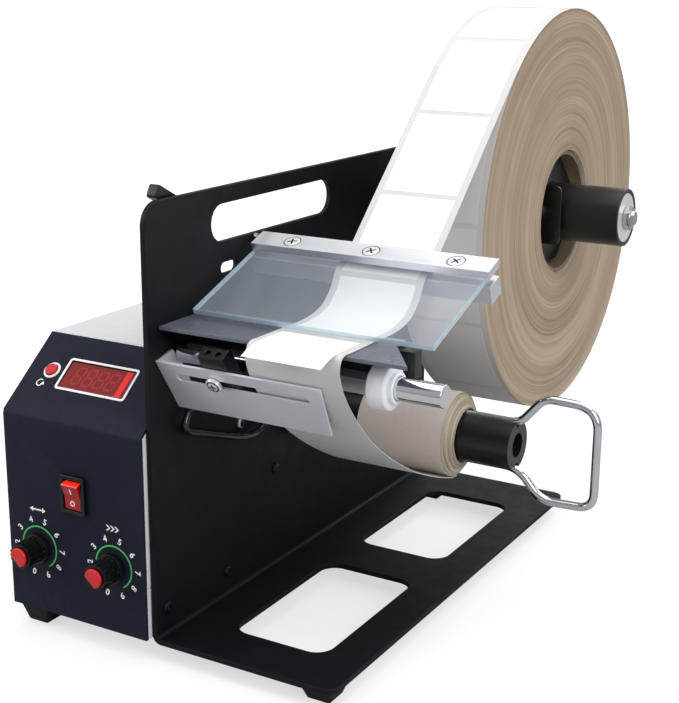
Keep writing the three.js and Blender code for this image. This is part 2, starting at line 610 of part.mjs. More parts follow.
add('display_window', onSlope(box(-DISPLAY.width / 2, DISPLAY.width / 2, -DISPLAY.height / 2,
  DISPLAY.height / 2, -2.2, -0.2), DISPLAY.x, DISPLAY.along), MAT.display);
add('display_module', onSlope(box(-24, 24, -11, 11, -14, -2.6), DISPLAY.x, DISPLAY.along),
  MAT.blackPlastic);
add('reset_button', onSlope(join(
  new THREE.CylinderGeometry(RESET.radius, RESET.radius, 4, 24).rotateX(Math.PI / 2),
  box(-1.5, 1.5, -1.5, 1.5, -5, 0),
), RESET.x, RESET.along), MAT.red);
add('reset_switch', onSlope(box(-6, 6, -5, 5, -13, -7), RESET.x, RESET.along), MAT.blackPlastic);
add('switch_housing', switchHousing(), MAT.blackPlastic);
add('power_rocker', powerRocker(), MAT.red);

[['length', KNOBS.length], ['speed', KNOBS.speed]].forEach(([name, x]) => {
  add(`${name}_pot`, potentiometer(x), MAT.zinc);
  add(`${name}_knob`, knob(x), MAT.blackPlastic);
  add(`${name}_knob_cap`, knobCap(x), MAT.red);
});

add('control_board', join(box(-90, -60, 40, 112, 12, 13.6), box(-86, -70, 48, 70, 13, 24),
  box(-82, -66, 80, 104, 13, 30), box(-88, -62, 44, 46, INNER_FLOOR, 13),
  box(-88, -62, 106, 108, INNER_FLOOR, 13)), MAT.board);
add('transformer', join(box(-50, -14, 40, 92, INNER_FLOOR, 34), box(-44, -20, 34, 98, 8, 26)), MAT.zinc);
add('power_inlet', cut(join(box(-75, -41, BOX.rear + GAP, BOX.rear + 3, 37, 64),
  box(-71.6, -44.4, 195, BOX.rear + 1, 40.4, 60.6)),
box(-69, -47, 205, BOX.rear + 6, 43, 58)), MAT.blackPlastic);

add('gear_motor', gearMotor(), MAT.zinc);
add('motor_pinion', motorPinion(), MAT.brass);
add('spindle_gear', spurGear(GEAR.teeth, Math.PI / 2, GEAR.x0, GEAR.x1, REWIND.y, REWIND.z,
  REWIND.shaft + GAP), MAT.nylon);
add('rewind_bearing', rewindBearing(), MAT.zinc);
add('rewind_shaft', rod(REWIND.shaft, -24, 134, REWIND.y, REWIND.z, 24), MAT.stainless);
add('rewind_tube', rewindTube(), MAT.satinBlack);
add('rewind_bail', rewindBail(), MAT.chrome);
add('rewound_liner', tube(REWIND.liner, BAIL.leg + BAIL.wire + GAP, WEB.left, WEB.right + 1,
  REWIND.y, REWIND.z, 56), MAT.rewound);

add('guide_bearing', turned([[-14, 0], [-14, 7], [-5, 7], [-5, 8.5], [-3.3, 8.5], [-3.3, 3.3],
  [-12, 3.3], [-12, 0]], GUIDE.y, GUIDE.z, 28), MAT.zinc);
add('guide_roller', turned([[-11, 0], [-11, 3], [1.8, 3], [1.8, GUIDE.radius],
  [GUIDE.end - 0.6, GUIDE.radius], [GUIDE.end, GUIDE.radius - 0.6], [GUIDE.end, 0]],
GUIDE.y, GUIDE.z, 36), MAT.chrome);
add('guide_collar', turned([[-5, 6], [-5, 10.4], [-4, 11.4], [4, 11.4], [5, 10.4], [5, 8],
  [7.2, 8], [7.8, 7.4], [7.8, 6], [-5, 6]], GUIDE.y, GUIDE.z, 28).translate(GUIDE.collarX, 0, 0),
MAT.nylon);

add('peel_plate', extrudeXY(polygon([[GAP, PEEL.front], [PEEL.right, PEEL.front],
  [PEEL.right - 22, PEEL.front + 31], [PEEL.right - 22, PEEL.rear], [GAP, PEEL.rear]]),
PEEL.top - PEEL.sheet, PEEL.top), MAT.satinBlack);
add('peel_bar', box(GAP, 128, 39, 46.5, 152, PEEL.top - PEEL.sheet - GAP), MAT.satinBlack);

const press = tilted(PRESS.y, PRESS.z, PRESS.tilt);
add('support_bar', box(GAP, 142.5, 61, 72.4, -15.5, -5.4), MAT.aluminium, press);
add('glass_plate', glassPlate(), MAT.glass, press);
add('clamp_strip', clampStrip(), MAT.aluminium, press);
SCREW_X.forEach((x, i) => add(`clamp_screw_${i + 1}`,
  countersunk(x, screwAlong, STRIP.top - 0.15, 6.8, 4.7, 1.6, 1.6), MAT.zinc, press));
add('hinge_pin', turned([[GAP, 0], [GAP, 2.2], [2.5, 2.2], [2.5, HINGE.pin], [14, HINGE.pin],
  [14, 0]], HINGE.along, HINGE.height, 16), MAT.stainless, press);

const bracket = tilted(BRACKET.y, BRACKET.z, BRACKET.tilt);
add('sensor_bracket', sensorBracket(), MAT.stainless, bracket);
add('sensor_head', sensorHead(), MAT.blackPlastic, bracket);
add('sensor_lock_screw', sensorLockScrew(), MAT.zinc, bracket);
add('sensor_cable', sensorCable(), MAT.rubber);
add('cable_grommet', turned([[-5, 2.3], [-5, 5], [-3.3, 5], [-3.3, 3.3], [0.3, 3.3], [0.3, 5],
  [2, 5], [2, 2.3], [-5, 2.3]], 92, 104, 24), MAT.rubber);

add('supply_shaft', supplyShaft(), MAT.zinc);
add('spindle_sleeve', spindleSleeve(), MAT.satinBlack);
add('core_holder', coreHolder(), MAT.satinBlack);
add('core_clip', coreClip(), MAT.stainless);
add('end_washer', tube(14.8, 5, SUPPLY.sleeveEnd - 1.5, SUPPLY.sleeveEnd - 0.3, SUPPLY.y,
  SUPPLY.z, 36), MAT.zinc);
add('end_nut', endNut(), MAT.zinc);
add('roll_core', tube(SUPPLY.core - GAP, 35.2, WEB.left + 1, WEB.right - 2, SUPPLY.y, SUPPLY.z,
  56), MAT.kraft);
add('label_roll', tube(SUPPLY.roll, SUPPLY.core, WEB.left, WEB.right, SUPPLY.y, SUPPLY.z, 80),
  MAT.paper);
add('label_web', labelWeb(), MAT.liner);

add('release_lever', releaseLever(), MAT.blackPlastic);
add('lever_pivot', turned([[-13, 0], [-13, 4.5], [-10.8, 4.5], [-10.8, 2.2], [-3.3, 2.2], [-3.3, 0]],
  LEVER.y, LEVER.z, 20), MAT.zinc);

// ---------------------------------------------------------------- origin
const group = new THREE.Group();
group.add(root);
group.updateMatrixWorld(true);
const bounds = new THREE.Box3().setFromObject(root, true);
const centre = bounds.getCenter(new THREE.Vector3());
root.position.set(-centre.x, -centre.y, -bounds.min.z);
group.updateMatrixWorld(true);

export default group;
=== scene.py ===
import json
import math

import bmesh
import bpy
from mathutils import Matrix, Vector, noise

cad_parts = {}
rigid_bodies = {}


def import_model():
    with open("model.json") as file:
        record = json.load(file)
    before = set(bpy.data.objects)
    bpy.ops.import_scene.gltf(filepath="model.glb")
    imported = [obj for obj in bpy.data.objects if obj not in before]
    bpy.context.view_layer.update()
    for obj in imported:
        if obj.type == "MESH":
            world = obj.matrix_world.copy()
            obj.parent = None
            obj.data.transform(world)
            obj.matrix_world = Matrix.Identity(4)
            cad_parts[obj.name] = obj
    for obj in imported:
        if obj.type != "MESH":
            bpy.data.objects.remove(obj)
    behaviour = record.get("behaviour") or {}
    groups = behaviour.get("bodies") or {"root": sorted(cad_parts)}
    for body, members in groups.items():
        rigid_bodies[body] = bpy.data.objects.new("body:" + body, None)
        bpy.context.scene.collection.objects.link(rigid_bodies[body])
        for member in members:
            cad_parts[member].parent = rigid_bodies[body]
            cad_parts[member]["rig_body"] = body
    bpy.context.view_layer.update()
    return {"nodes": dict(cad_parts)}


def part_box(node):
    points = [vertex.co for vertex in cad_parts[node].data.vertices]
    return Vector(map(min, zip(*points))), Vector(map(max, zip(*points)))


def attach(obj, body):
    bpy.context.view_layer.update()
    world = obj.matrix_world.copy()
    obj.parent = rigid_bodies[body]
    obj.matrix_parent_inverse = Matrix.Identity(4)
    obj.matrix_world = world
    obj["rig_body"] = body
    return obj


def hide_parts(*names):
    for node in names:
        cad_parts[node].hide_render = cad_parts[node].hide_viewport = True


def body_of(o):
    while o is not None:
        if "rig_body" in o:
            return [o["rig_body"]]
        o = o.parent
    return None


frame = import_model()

MM = 0.001
SHEET = 3.0
PLATE_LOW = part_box("main_frame")[0]
CORNER = PLATE_LOW + Vector((SHEET, 0, SHEET)) * MM
MODEL = Matrix.Translation(CORNER) @ Matrix.Scale(MM, 4)


def at(x, y, z):
    """A point of the plate frame, in metres in the row frame."""
    return MODEL @ Vector((x, y, z))


def box_mm(node):
    """Lowest and highest corner of a CAD node, in millimetres of the plate frame."""
    back = MODEL.inverted()
    return [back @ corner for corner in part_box(node)]


def radius_mm(node):
    """Radius of a CAD node that is turned about an X axis."""
    low, high = box_mm(node)
    return (high.y - low.y) / 2


# ---------------------------------------------------------------- driving sizes
BASE_RIGHT, PLATE_DEPTH, PLATE_TOP = box_mm("main_frame")[1]
BEND_RADIUS = 2.0
GAP = 0.3                         # what touching pieces keep between them

PANEL_FRONT = box_mm("front_panel")[0].y
PANEL_BEND_Z = 112.0
PANEL_SLOPE = math.radians(39.3)
DISPLAY_X, DISPLAY_ALONG = -48.5, 28.8
RESET_X, RESET_ALONG = -79.6, 29.2
ROCKER_X, ROCKER_Y, ROCKER_Z = -48.2, -1.8, 73.0
ROCKER_SWING = math.radians(12)
KNOB_Z = 37.4
KNOBS = {"length": -74.5, "speed": -23.5}

REWIND_Y, REWIND_Z = 136.0, 93.0
SUPPLY_Y, SUPPLY_Z = 281.0, 196.0
GUIDE_Y, GUIDE_Z = 25.7, 151.4
GROMMET_Y, GROMMET_Z = 92.0, 104.0
WEB_LEFT, WEB_RIGHT = [corner.x for corner in box_mm("label_web")]
WEB_THICKNESS = 0.3
CORE_RADIUS = 38.0
REWOUND_RADIUS = 23.5
LABEL_LENGTH, LABEL_GAP, LABEL_MARGIN = 54.5, 3.0, 4.0
LABEL_LEFT, LABEL_RIGHT = WEB_LEFT + LABEL_MARGIN, WEB_RIGHT - LABEL_MARGIN
LABEL_THICKNESS = 0.12
PEEL_TOP = 168.0
FLAT_Z = PEEL_TOP + GAP + WEB_THICKNESS / 2
GLASS_LENGTH, GLASS_THICKNESS = 70.4, 3.0
STRIP_MIDDLE, STRIP_TOP = 66.1, 4.5
CLAMP_SCREW_X = (26.5, 74.4, 122.8)
PRESS_Y, PRESS_Z = 31.9, 172.5
PRESS_TILT = math.radians(20.6)
BRACKET_Y, BRACKET_Z = 5.4, 150.5
BRACKET_TILT = math.radians(32.8)


def shift(x, y, z):
    return Matrix.Translation((x, y, z))


def frame_of(origin, x_axis, y_axis):
    """Matrix that takes a piece drawn in its own XY plane to a place in the plate frame."""
    x_axis = Vector(x_axis).normalized()
    z_axis = x_axis.cross(Vector(y_axis)).normalized()
    y_axis = z_axis.cross(x_axis)
    turn = Matrix((x_axis, y_axis, z_axis)).transposed().to_4x4()
    return Matrix.Translation(Vector(origin)) @ turn


def tilted(y, z, angle):
    """Frame of a group that is turned up about the X axis: its X stays, its Y climbs."""
    return frame_of((0, y, z), (1, 0, 0), (0, math.cos(angle), math.sin(angle)))


PRESS = tilted(PRESS_Y, PRESS_Z, PRESS_TILT)
BRACKET = tilted(BRACKET_Y, BRACKET_Z, BRACKET_TILT)
FRONT = frame_of((0, PANEL_FRONT, 0), (1, 0, 0), (0, 0, 1))
SLOPE = tilted(PANEL_FRONT, PANEL_BEND_Z, PANEL_SLOPE)
PLATE_FACE = frame_of((0, 0, 0), (0, 1, 0), (0, 0, 1))


# ---------------------------------------------------------------- materials
def linear(code):
    """Linear colour of a hex code such as a59d94."""
    parts = [int(code[i:i + 2], 16) / 255 for i in (0, 2, 4)]
    return [p / 12.92 if p <= 0.04045 else ((p + 0.055) / 1.055) ** 2.4 for p in parts]


class Surface:
    """A Principled material with helpers for its procedural detail."""

    def __init__(self, name, roughness, metallic=0.0, **constants):
        self.material = bpy.data.materials.new(name)
        self.material.use_nodes = True
        self.tree = self.material.node_tree
        self.tree.nodes.clear()
        self.shader = self.add("ShaderNodeBsdfPrincipled")
        output = self.add("ShaderNodeOutputMaterial")
        self.link(self.shader.outputs["BSDF"], output.inputs["Surface"])
        self.shader.inputs["Roughness"].default_value = roughness
        self.shader.inputs["Metallic"].default_value = metallic
        for socket, value in constants.items():
            self.shader.inputs[socket.replace("_", " ")].default_value = value

    def add(self, kind, **settings):
        node = self.tree.nodes.new(kind)
        for key, value in settings.items():
            setattr(node, key, value)
        return node

    def link(self, source, target):
        self.tree.links.new(source, target)

    def feed(self, socket, value):
        """Gives a socket a number, a colour or the output of another node."""
        if isinstance(value, (int, float)):
            socket.default_value = value
        elif isinstance(value, (list, tuple)):
            socket.default_value = (*value, 1)
        else:
            self.link(value, socket)

    def place(self, stretch=(1, 1, 1), origin=(0, 0, 0)):
        """Object coordinates about an origin, stretched along the axes."""
        where = self.add("ShaderNodeTexCoord")
        mapping = self.add("ShaderNodeMapping")
        mapping.inputs["Location"].default_value = [-o * s for o, s in zip(origin, stretch)]
        mapping.inputs["Scale"].default_value = stretch
        self.link(where.outputs["Object"], mapping.inputs["Vector"])
        return mapping.outputs["Vector"]

    def noise(self, scale, stretch=(1, 1, 1), detail=3.0, vector=None, rough=0.55):
        texture = self.add("ShaderNodeTexNoise")
        texture.inputs["Scale"].default_value = scale
        texture.inputs["Detail"].default_value = detail
        texture.inputs["Roughness"].default_value = rough
        self.link(vector or self.place(stretch), texture.inputs["Vector"])
        return texture.outputs["Fac"]

    def maths(self, operation, first, second):
        node = self.add("ShaderNodeMath", operation=operation)
        for socket, value in zip(node.inputs, (first, second)):
            self.feed(socket, value)
        return node.outputs[0]

    def span(self, value, low, high, source=(0.3, 0.7)):
        node = self.add("ShaderNodeMapRange")
        node.inputs["From Min"].default_value = source[0]
        node.inputs["From Max"].default_value = source[1]
        node.inputs["To Min"].default_value = low
        node.inputs["To Max"].default_value = high
        self.link(value, node.inputs["Value"])
        return node.outputs["Result"]

    def ramp(self, value, stops):
        node = self.add("ShaderNodeValToRGB")
        elements = node.color_ramp.elements
        while len(elements) < len(stops):
            elements.new(0.5)
        for element, (position, colour) in zip(elements, stops):
            element.position = position
            element.color = (*colour, 1)
        self.link(value, node.inputs["Fac"])
        return node.outputs["Color"]

    def mix(self, factor, first, second):
        node = self.add("ShaderNodeMix", data_type="RGBA")
        for index, value in ((0, factor), (6, first), (7, second)):
            self.feed(node.inputs[index], value)
        return node.outputs[2]

    def tones(self, value, colour, low, high=1.0):
        """A colour that a pattern makes darker or lighter."""
        return self.ramp(value, [(0.3, shaded(colour, low)), (0.7, shaded(colour, high))])

    def colour(self, value):
        self.link(value, self.shader.inputs["Base Color"])

    def roughness(self, value):
        self.link(value, self.shader.inputs["Roughness"])

    def bump(self, height, strength, distance=0.0002):
        node = self.add("ShaderNodeBump")
        node.inputs["Strength"].default_value = strength
        node.inputs["Distance"].default_value = distance
        self.link(height, node.inputs["Height"])
        self.link(node.outputs["Normal"], self.shader.inputs["Normal"])
        return self


def shaded(colour, amount):
    return [min(1.0, c * amount) for c in colour]


def powder_coat(name, code, roughness, edge=2.4, specular=0.4):
    """Powder coat: fine orange peel, faint mottling and corners rubbed a little lighter."""
    s = Surface(name, roughness, Specular_IOR_Level=specular)
    colour = linear(code)
    mottled = s.tones(s.noise(35, detail=4), colour, 0.95, 1.04)
    worn = s.add("ShaderNodeNewGeometry").outputs["Pointiness"]
    edges = s.maths("MULTIPLY", s.span(worn, 0, 1, (0.52, 0.6)), s.span(s.noise(220), 0.3, 1))
    s.colour(s.mix(edges, mottled, shaded(colour, edge)))
    s.roughness(s.span(s.noise(90, detail=5), roughness - 0.06, roughness + 0.07))
    return s.bump(s.noise(1500, detail=2), 0.16, 0.0001).material


def moulded(name, code, roughness, grain=1800, strength=0.12, **constants):
    """Moulded plastic or rubber with a fine spark-eroded grain."""
    s = Surface(name, roughness, **constants)
    s.colour(s.tones(s.noise(60), linear(code), 0.9, 1.1))
    s.roughness(s.span(s.noise(140, detail=5), roughness - 0.05, roughness + 0.06))
    return s.bump(s.noise(grain, detail=2), strength, 0.0001).material


def metal(name, code, roughness, stretch=(1, 1, 1), scale=300, strength=0.08, depth=0.3,
          metallic=1.0):
    """Metal with fine lines: the stretch says which way the lines run."""
    s = Surface(name, roughness, metallic)
    colour = linear(code)
    lines = s.noise(scale, stretch, detail=4)
    tone = s.tones(s.noise(24), colour, 0.9, 1.05)
    s.colour(s.mix(s.span(lines, 0.0, depth), tone, shaded(colour, 0.6)))
    s.roughness(s.span(lines, roughness - 0.05, roughness + 0.06))
    return s.bump(lines, strength, 0.00008).material


def chrome(name, code, roughness):
    """Polished plate with faint smears."""
    s = Surface(name, roughness, 1.0)
    s.colour(s.tones(s.noise(50), linear(code), 0.95))
    s.roughness(s.span(s.noise(160, detail=5), roughness, roughness + 0.07))
    return s.material


def paper(name, code, roughness, fibre, **constants):
    """Paper: soft fibre mottling with a fine tooth."""
    s = Surface(name, roughness, **constants)
    s.colour(s.tones(s.noise(420, detail=5), linear(code), 1 - fibre))
    s.roughness(s.span(s.noise(200), roughness - 0.04, roughness + 0.05))
    return s.bump(s.noise(2600, detail=3), 0.06, 0.00005).material


def wound_edge(name, codes, y, z, scale=1.0):
    """Side of a wound roll: many thin irregular rings, a few deep ones and faint smears."""
    s = Surface(name, 0.72, Specular_IOR_Level=0.2)
    where = s.place(origin=at(0, y, z))
    parts = s.add("ShaderNodeSeparateXYZ")
    s.link(where, parts.inputs["Vector"])
    square = [s.maths("MULTIPLY", parts.outputs[axis], parts.outputs[axis]) for axis in ("Y", "Z")]
    radius = s.maths("POWER", s.maths("ADD", *square), 0.5)
    wobble = s.maths("MULTIPLY", s.noise(9 / scale, vector=where, detail=2), 0.003 * scale)
    distance = s.maths("ADD", radius, wobble)

    def rings(size, around, detail=3.0, rough=0.6):
        """Noise that runs in rings and changes slowly on the way round."""
        spot = s.add("ShaderNodeCombineXYZ")
        s.link(s.maths("MULTIPLY", distance, size / scale), spot.inputs["X"])
        for axis in ("Y", "Z"):
            s.link(s.maths("MULTIPLY", parts.outputs[axis], around / scale), spot.inputs[axis])
        return s.noise(1, vector=spot.outputs[0], detail=detail, rough=rough)

    fine = rings(1500, 5, 4, 0.7)
    thread = rings(760, 5, 2)
    deep = rings(430, 6, 1)
    broad = rings(60, 3, 3)
    smear = s.noise(16 / scale, vector=where, detail=4)
    dark, main, light = (linear(code) for code in codes)
    bands = s.ramp(broad, [(0.36, shaded(main, 0.93)), (0.5, main), (0.66, light)])
    soiled = s.mix(s.span(smear, 0.0, 0.25, (0.52, 0.7)), bands, dark)
    threads = s.mix(s.span(thread, 0.0, 0.55, (0.54, 0.7)), soiled, dark)
    lined = s.mix(s.span(fine, 0.0, 0.6, (0.54, 0.72)), threads, shaded(dark, 0.7))
    pale = s.mix(s.span(thread, 0.6, 0.0, (0.28, 0.42)), lined, shaded(light, 1.2))
    s.colour(s.mix(s.span(deep, 0.0, 0.4, (0.64, 0.72)), pale, shaded(dark, 0.6)))
    return s.bump(s.maths("ADD", fine, thread), 0.35, 0.0003).material


def cardboard(name, code, y, z):
    """Spiral-wound cardboard with a broad winding seam."""
    s = Surface(name, 0.85, Specular_IOR_Level=0.2)
    colour = linear(code)
    wave = s.add("ShaderNodeTexWave", wave_type="BANDS")
    wave.inputs["Scale"].default_value = 9
    wave.inputs["Distortion"].default_value = 1.5
    s.link(s.place((1, 0.25, 0.25), at(0, y, z)), wave.inputs["Vector"])
    fibre = s.noise(900, (1, 0.3, 0.3), detail=5)
    base = s.tones(fibre, colour, 0.78, 1.15)
    s.colour(s.mix(s.span(wave.outputs["Fac"], 0.25, 0, (0, 0.15)), base, shaded(colour, 0.6)))
    return s.bump(fibre, 0.3).material


def pane(name, code, alpha):
    """Clear float glass, seen through, with a faint smear in its polish."""
    s = Surface(name, 0.03, Alpha=alpha, IOR=1.5, Coat_Weight=0.6, Coat_Roughness=0.02)
    s.colour(s.tones(s.noise(9, detail=2), linear(code), 0.94))
    s.roughness(s.span(s.noise(70, detail=5), 0.03, 0.08))
    return s.material


def ink(name, code):
    """Screen-printed ink with slightly broken edges."""
    s = Surface(name, 0.5, Specular_IOR_Level=0.3)
    colour = linear(code)
    s.colour(s.ramp(s.noise(700, detail=4), [(0.35, shaded(colour, 0.86)), (0.6, colour)]))
    return s.material


def lit(name, code, strength, roughness=0.2):
    """Red plastic that glows, its glow varying a little at random: the display's cells are lit from
    behind, and on the rocker the glow is a painted highlight on its upward faces.
    """
    s = Surface(name, roughness, Emission_Strength=strength, Coat_Weight=0.5)
    glow = s.tones(s.noise(160), linear(code), 0.82)
    s.colour(glow)
    s.link(glow, s.shader.inputs["Emission Color"])
    return s.material


MAT = {
    "frame": powder_coat("black_powder_coat", "0b0e16", 0.52, edge=3.2, specular=0.2),
    "panel": powder_coat("panel_powder_coat", "1c202b", 0.6, edge=1.8, specular=0.1),
    "cover": powder_coat("white_powder_coat", "d3d3d5", 0.45, edge=1.1, specular=0.4),
    "rubber": moulded("black_rubber", "101114", 0.75, grain=1300, strength=0.3),
    "black": moulded("black_plastic", "08090c", 0.36, Specular_IOR_Level=0.35),
    "cable": moulded("glossy_cable", "08090b", 0.22, grain=900, strength=0.05, Coat_Weight=0.5),
    "gloss_black": moulded("gloss_black_plastic", "090a0d", 0.26, strength=0.05,
                           Specular_IOR_Level=0.35),
    "red": moulded("red_plastic", "d0141f", 0.33, strength=0.05, Coat_Weight=0.2),
    "rocker": moulded("clear_red_plastic", "a80d12", 0.24, strength=0.04, Coat_Weight=0.3,
                      Specular_IOR_Level=0.3),
    # painted highlight: the rocker's upward faces glow where the top light falls on them
    "rocker_top_painted_highlight": lit("rocker_top_painted_highlight", "e2280f", 0.9, 0.25),
    "nylon": moulded("white_nylon", "eeeef4", 0.4, strength=0.06, Subsurface_Weight=0.25,
                     Subsurface_Scale=0.004),
    "tube": moulded("satin_black_tube", "121318", 0.34, grain=900, strength=0.05),
    "peel": powder_coat("satin_peel_plate", "5e626d", 0.3, edge=1.05, specular=0.6),
    "board": moulded("circuit_board", "1e5a35", 0.4),
    "zinc": metal("zinc_plated_steel", "b9bcc0", 0.3, scale=260),
    "steel": metal("turned_steel", "c6c6c9", 0.24, (40, 1, 1)),
    "brass": metal("turned_brass", "b5924c", 0.3, (40, 1, 1)),
    "bright": metal("bright_screw", "f2f2f4", 0.34, scale=260, depth=0.1, metallic=0.55),
    "stainless": metal("brushed_stainless", "f0ecf5", 0.38, (0.03, 1, 1), scale=900, strength=0.02,
                       depth=0.14, metallic=0.45),
    "clip": metal("dark_stainless", "4c4c48", 0.34, (0.05, 1, 1), scale=900, strength=0.01,
                  depth=0.04),
    "aluminium": metal("satin_aluminium", "ededf1", 0.42, (0.04, 1, 1), scale=900, strength=0.03,
                       depth=0.1),
    "chrome": chrome("chrome_plate", "e9eaee", 0.05),
    "wire": chrome("polished_wire", "d6d7dc", 0.1),
    "label": paper("label_paper", "f7f7f5", 0.5, 0.02),
    "liner": paper("backing_paper", "dedddb", 0.42, 0.03, Specular_IOR_Level=0.45, Alpha=0.84),
    "roll_paper": paper("roll_paper", "d6d3cf", 0.5, 0.02),
    "roll_label": paper("roll_label_paper", "e2dfdc", 0.5, 0.02),
    "rewound": paper("rewound_backing", "d2c8be", 0.6, 0.06),
    "roll_side": wound_edge("roll_side", ("86745f", "a8957f", "b8a793"), SUPPLY_Y, SUPPLY_Z),
    "rewound_side": wound_edge("rewound_side", ("7d7062", "aa9f8f", "cdc3b2"), REWIND_Y, REWIND_Z,
                               0.45),
    "core": cardboard("core_board", "8d7a63", SUPPLY_Y, SUPPLY_Z),
    "glass": pane("clear_glass", "dde9f6", 0.14),
    "glass_edge": pane("glass_edge", "b9d3e0", 0.75),
    "display": lit("display_red", "760c0a", 0.22),
    "segment": lit("display_segment", "971a16", 0.4),
    "bar": lit("display_bar", "cc1c14", 0.55),
    "white_ink": ink("white_ink", "ffffff"),
    "green_ink": ink("green_ink", "52cf72"),
    # painted shade: near-black finish for screw recesses and for the ring round the strip screws'
    # heads
    "dark": moulded("painted_shade", "0a0a0c", 0.6),
}


# ---------------------------------------------------------------- mesh helpers
def add_object(name, data):
    """Object in the scene; it and its data have one name."""
    data.name = name
    obj = bpy.data.objects.new(name, data)
    bpy.context.scene.collection.objects.link(obj)
    return obj


def finish_mesh(name, mesh, body, mat, replaces=(), angle=40):
    """Puts a mesh drawn in the plate frame into the scene as a piece that rides on a body."""
    mesh.transform(MODEL)
    mesh.materials.append(MAT[mat])
    return dress(add_object(name, mesh), body, replaces, angle=angle)


def dress(obj, body, replaces=(), bevel=0.0, angle=40, segments=2):
    """Rounds the edges, sets smooth normals and hangs the piece on its body."""
    mesh = obj.data
    mesh.shade_smooth()
    if bevel:
        rounding = obj.modifiers.new("rounding", "BEVEL")
        rounding.width = bevel * MM
        rounding.segments = segments
        rounding.limit_method = "ANGLE"
        rounding.angle_limit = math.radians(angle)
        rounding.miter_outer = "MITER_ARC"
    else:
        mesh.set_sharp_from_angle(angle=math.radians(angle))
    normals = obj.modifiers.new("normals", "WEIGHTED_NORMAL")
    normals.keep_sharp = True
    normals.weight = 60
    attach(obj, body)
    if replaces:
        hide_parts(*replaces)
    return obj


def opened(mesh):
    """A mesh as a bmesh, which it takes the place of."""
    bm = bmesh.new()
    bm.from_mesh(mesh)
    bpy.data.meshes.remove(mesh)
    return bm


def repaint(obj, mat, chosen):
    """Gives the faces of a piece that pass a test another material."""
    obj.data.materials.append(MAT[mat])
    for face in obj.data.polygons:
        if chosen(face):
            face.material_index = 1


def closed(bm):
    """A bmesh as a mesh whose faces all look outwards."""
    bmesh.ops.recalc_face_normals(bm, faces=bm.faces)
    mesh = bpy.data.meshes.new("mesh")
    bm.to_mesh(mesh)
    bm.free()
    return mesh


def refine(node, mat, bevel, angle=40, segments=2):
    """The same shape as a CAD node, with flat faces made whole and its edges rounded."""
    source = frame["nodes"][node]
    bm = bmesh.new()
    bm.from_mesh(source.data)
    bmesh.ops.remove_doubles(bm, verts=bm.verts, dist=2e-6)
    bmesh.ops.dissolve_limit(bm, angle_limit=math.radians(0.6), verts=bm.verts, edges=bm.edges)
    mesh = closed(bm)
    mesh.materials.append(MAT[mat])
    body = body_of(source)[0]
    obj = add_object(node + "_finish", mesh)
    return dress(obj, body, (node,), bevel, angle, segments)


def round_rect(a0, a1, b0, b1, radii, steps=10):
    """Rectangle with one radius per corner: low-low, high-low, high-high, low-high."""
    radii = radii if isinstance(radii, (list, tuple)) else [radii] * 4
    centres = [(a0 + radii[0], b0 + radii[0]), (a1 - radii[1], b0 + radii[1]),
               (a1 - radii[2], b1 - radii[2]), (a0 + radii[3], b1 - radii[3])]
    points = []
    for corner, ((a, b), radius) in enumerate(zip(centres, radii)):
        start = math.pi * (1 + corner / 2)
        for i in range(steps + 1 if radius else 1):
            angle = start + (i / steps) * math.pi / 2
            points.append((a + radius * math.cos(angle), b + radius * math.sin(angle)))
    return points


def ring_points(a, b, radius, steps=40, start=0.0, end=2 * math.pi):
    """Outline of a circle, or of a part of one."""
    full = abs(end - start - 2 * math.pi) < 1e-6
    count = steps if full else steps + 1
    return [(a + radius * math.cos(start + (end - start) * i / steps),
             b + radius * math.sin(start + (end - start) * i / steps)) for i in range(count)]


def arc_band(outer, inner, steps, start, end):
    """Outline of a part of a ring about the origin, from one angle to another."""
    return [*ring_points(0, 0, outer, steps, start, end),
            *ring_points(0, 0, inner, steps, start, end)[::-1]]


def mesh_of(curve):
    """Mesh of a curve or a text, which it takes the place of."""
    holder = add_object("curve", curve)
    bpy.context.view_layer.update()
    mesh = bpy.data.meshes.new_from_object(holder)
    bpy.data.objects.remove(holder)
    bpy.data.curves.remove(curve)
    return mesh


def slab(outlines, thickness, bevel=0.0):
    """Flat piece on its own XY plane from Z = 0 to its thickness; later outlines are holes."""
    curve = bpy.data.curves.new("outline", "CURVE")
    curve.dimensions = "2D"
    curve.fill_mode = "BOTH"
    curve.extrude = thickness / 2 - bevel
    curve.bevel_depth = bevel
    curve.bevel_resolution = 2
    curve.offset = -bevel
    for outline in outlines:
        spline = curve.splines.new("POLY")
        spline.points.add(len(outline) - 1)
        for point, (a, b) in zip(spline.points, outline):
            point.co = (a, b, 0, 1)
        spline.use_cyclic_u = True
    bm = opened(mesh_of(curve))
    bmesh.ops.remove_doubles(bm, verts=bm.verts, dist=1e-4)
    bmesh.ops.translate(bm, verts=bm.verts, vec=(0, 0, thickness / 2))
    return closed(bm)


def placed(mesh, matrix):
    mesh.transform(matrix)
    return mesh


def around(x, radius, angle, y=0, z=0):
    """Point at a distance and an angle from an axis along X."""
    return x, y + radius * math.cos(angle), z + radius * math.sin(angle)


def turned(profile, segments):
    """Turned piece about the X axis: profile points are (x, radius), closed on themselves."""
    bm = bmesh.new()
    rings = []
    for x, radius in profile:
        if radius < 1e-6:
            rings.append([bm.verts.new((x, 0, 0))])
            continue
        angles = [2 * math.pi * i / segments for i in range(segments)]
        rings.append([bm.verts.new(around(x, radius, a)) for a in angles])
    hollow = len(rings[0]) > 1
    for first, second in zip(rings, rings[1:] + ([rings[0]] if hollow else [])):
        for i in range(segments):
            j = (i + 1) % segments
            corners = [first[i % len(first)], second[i % len(second)],
                       second[j % len(second)], first[j % len(first)]]
            corners = list(dict.fromkeys(corners))
            if len(corners) > 2:
                bm.faces.new(corners)
    return closed(bm)


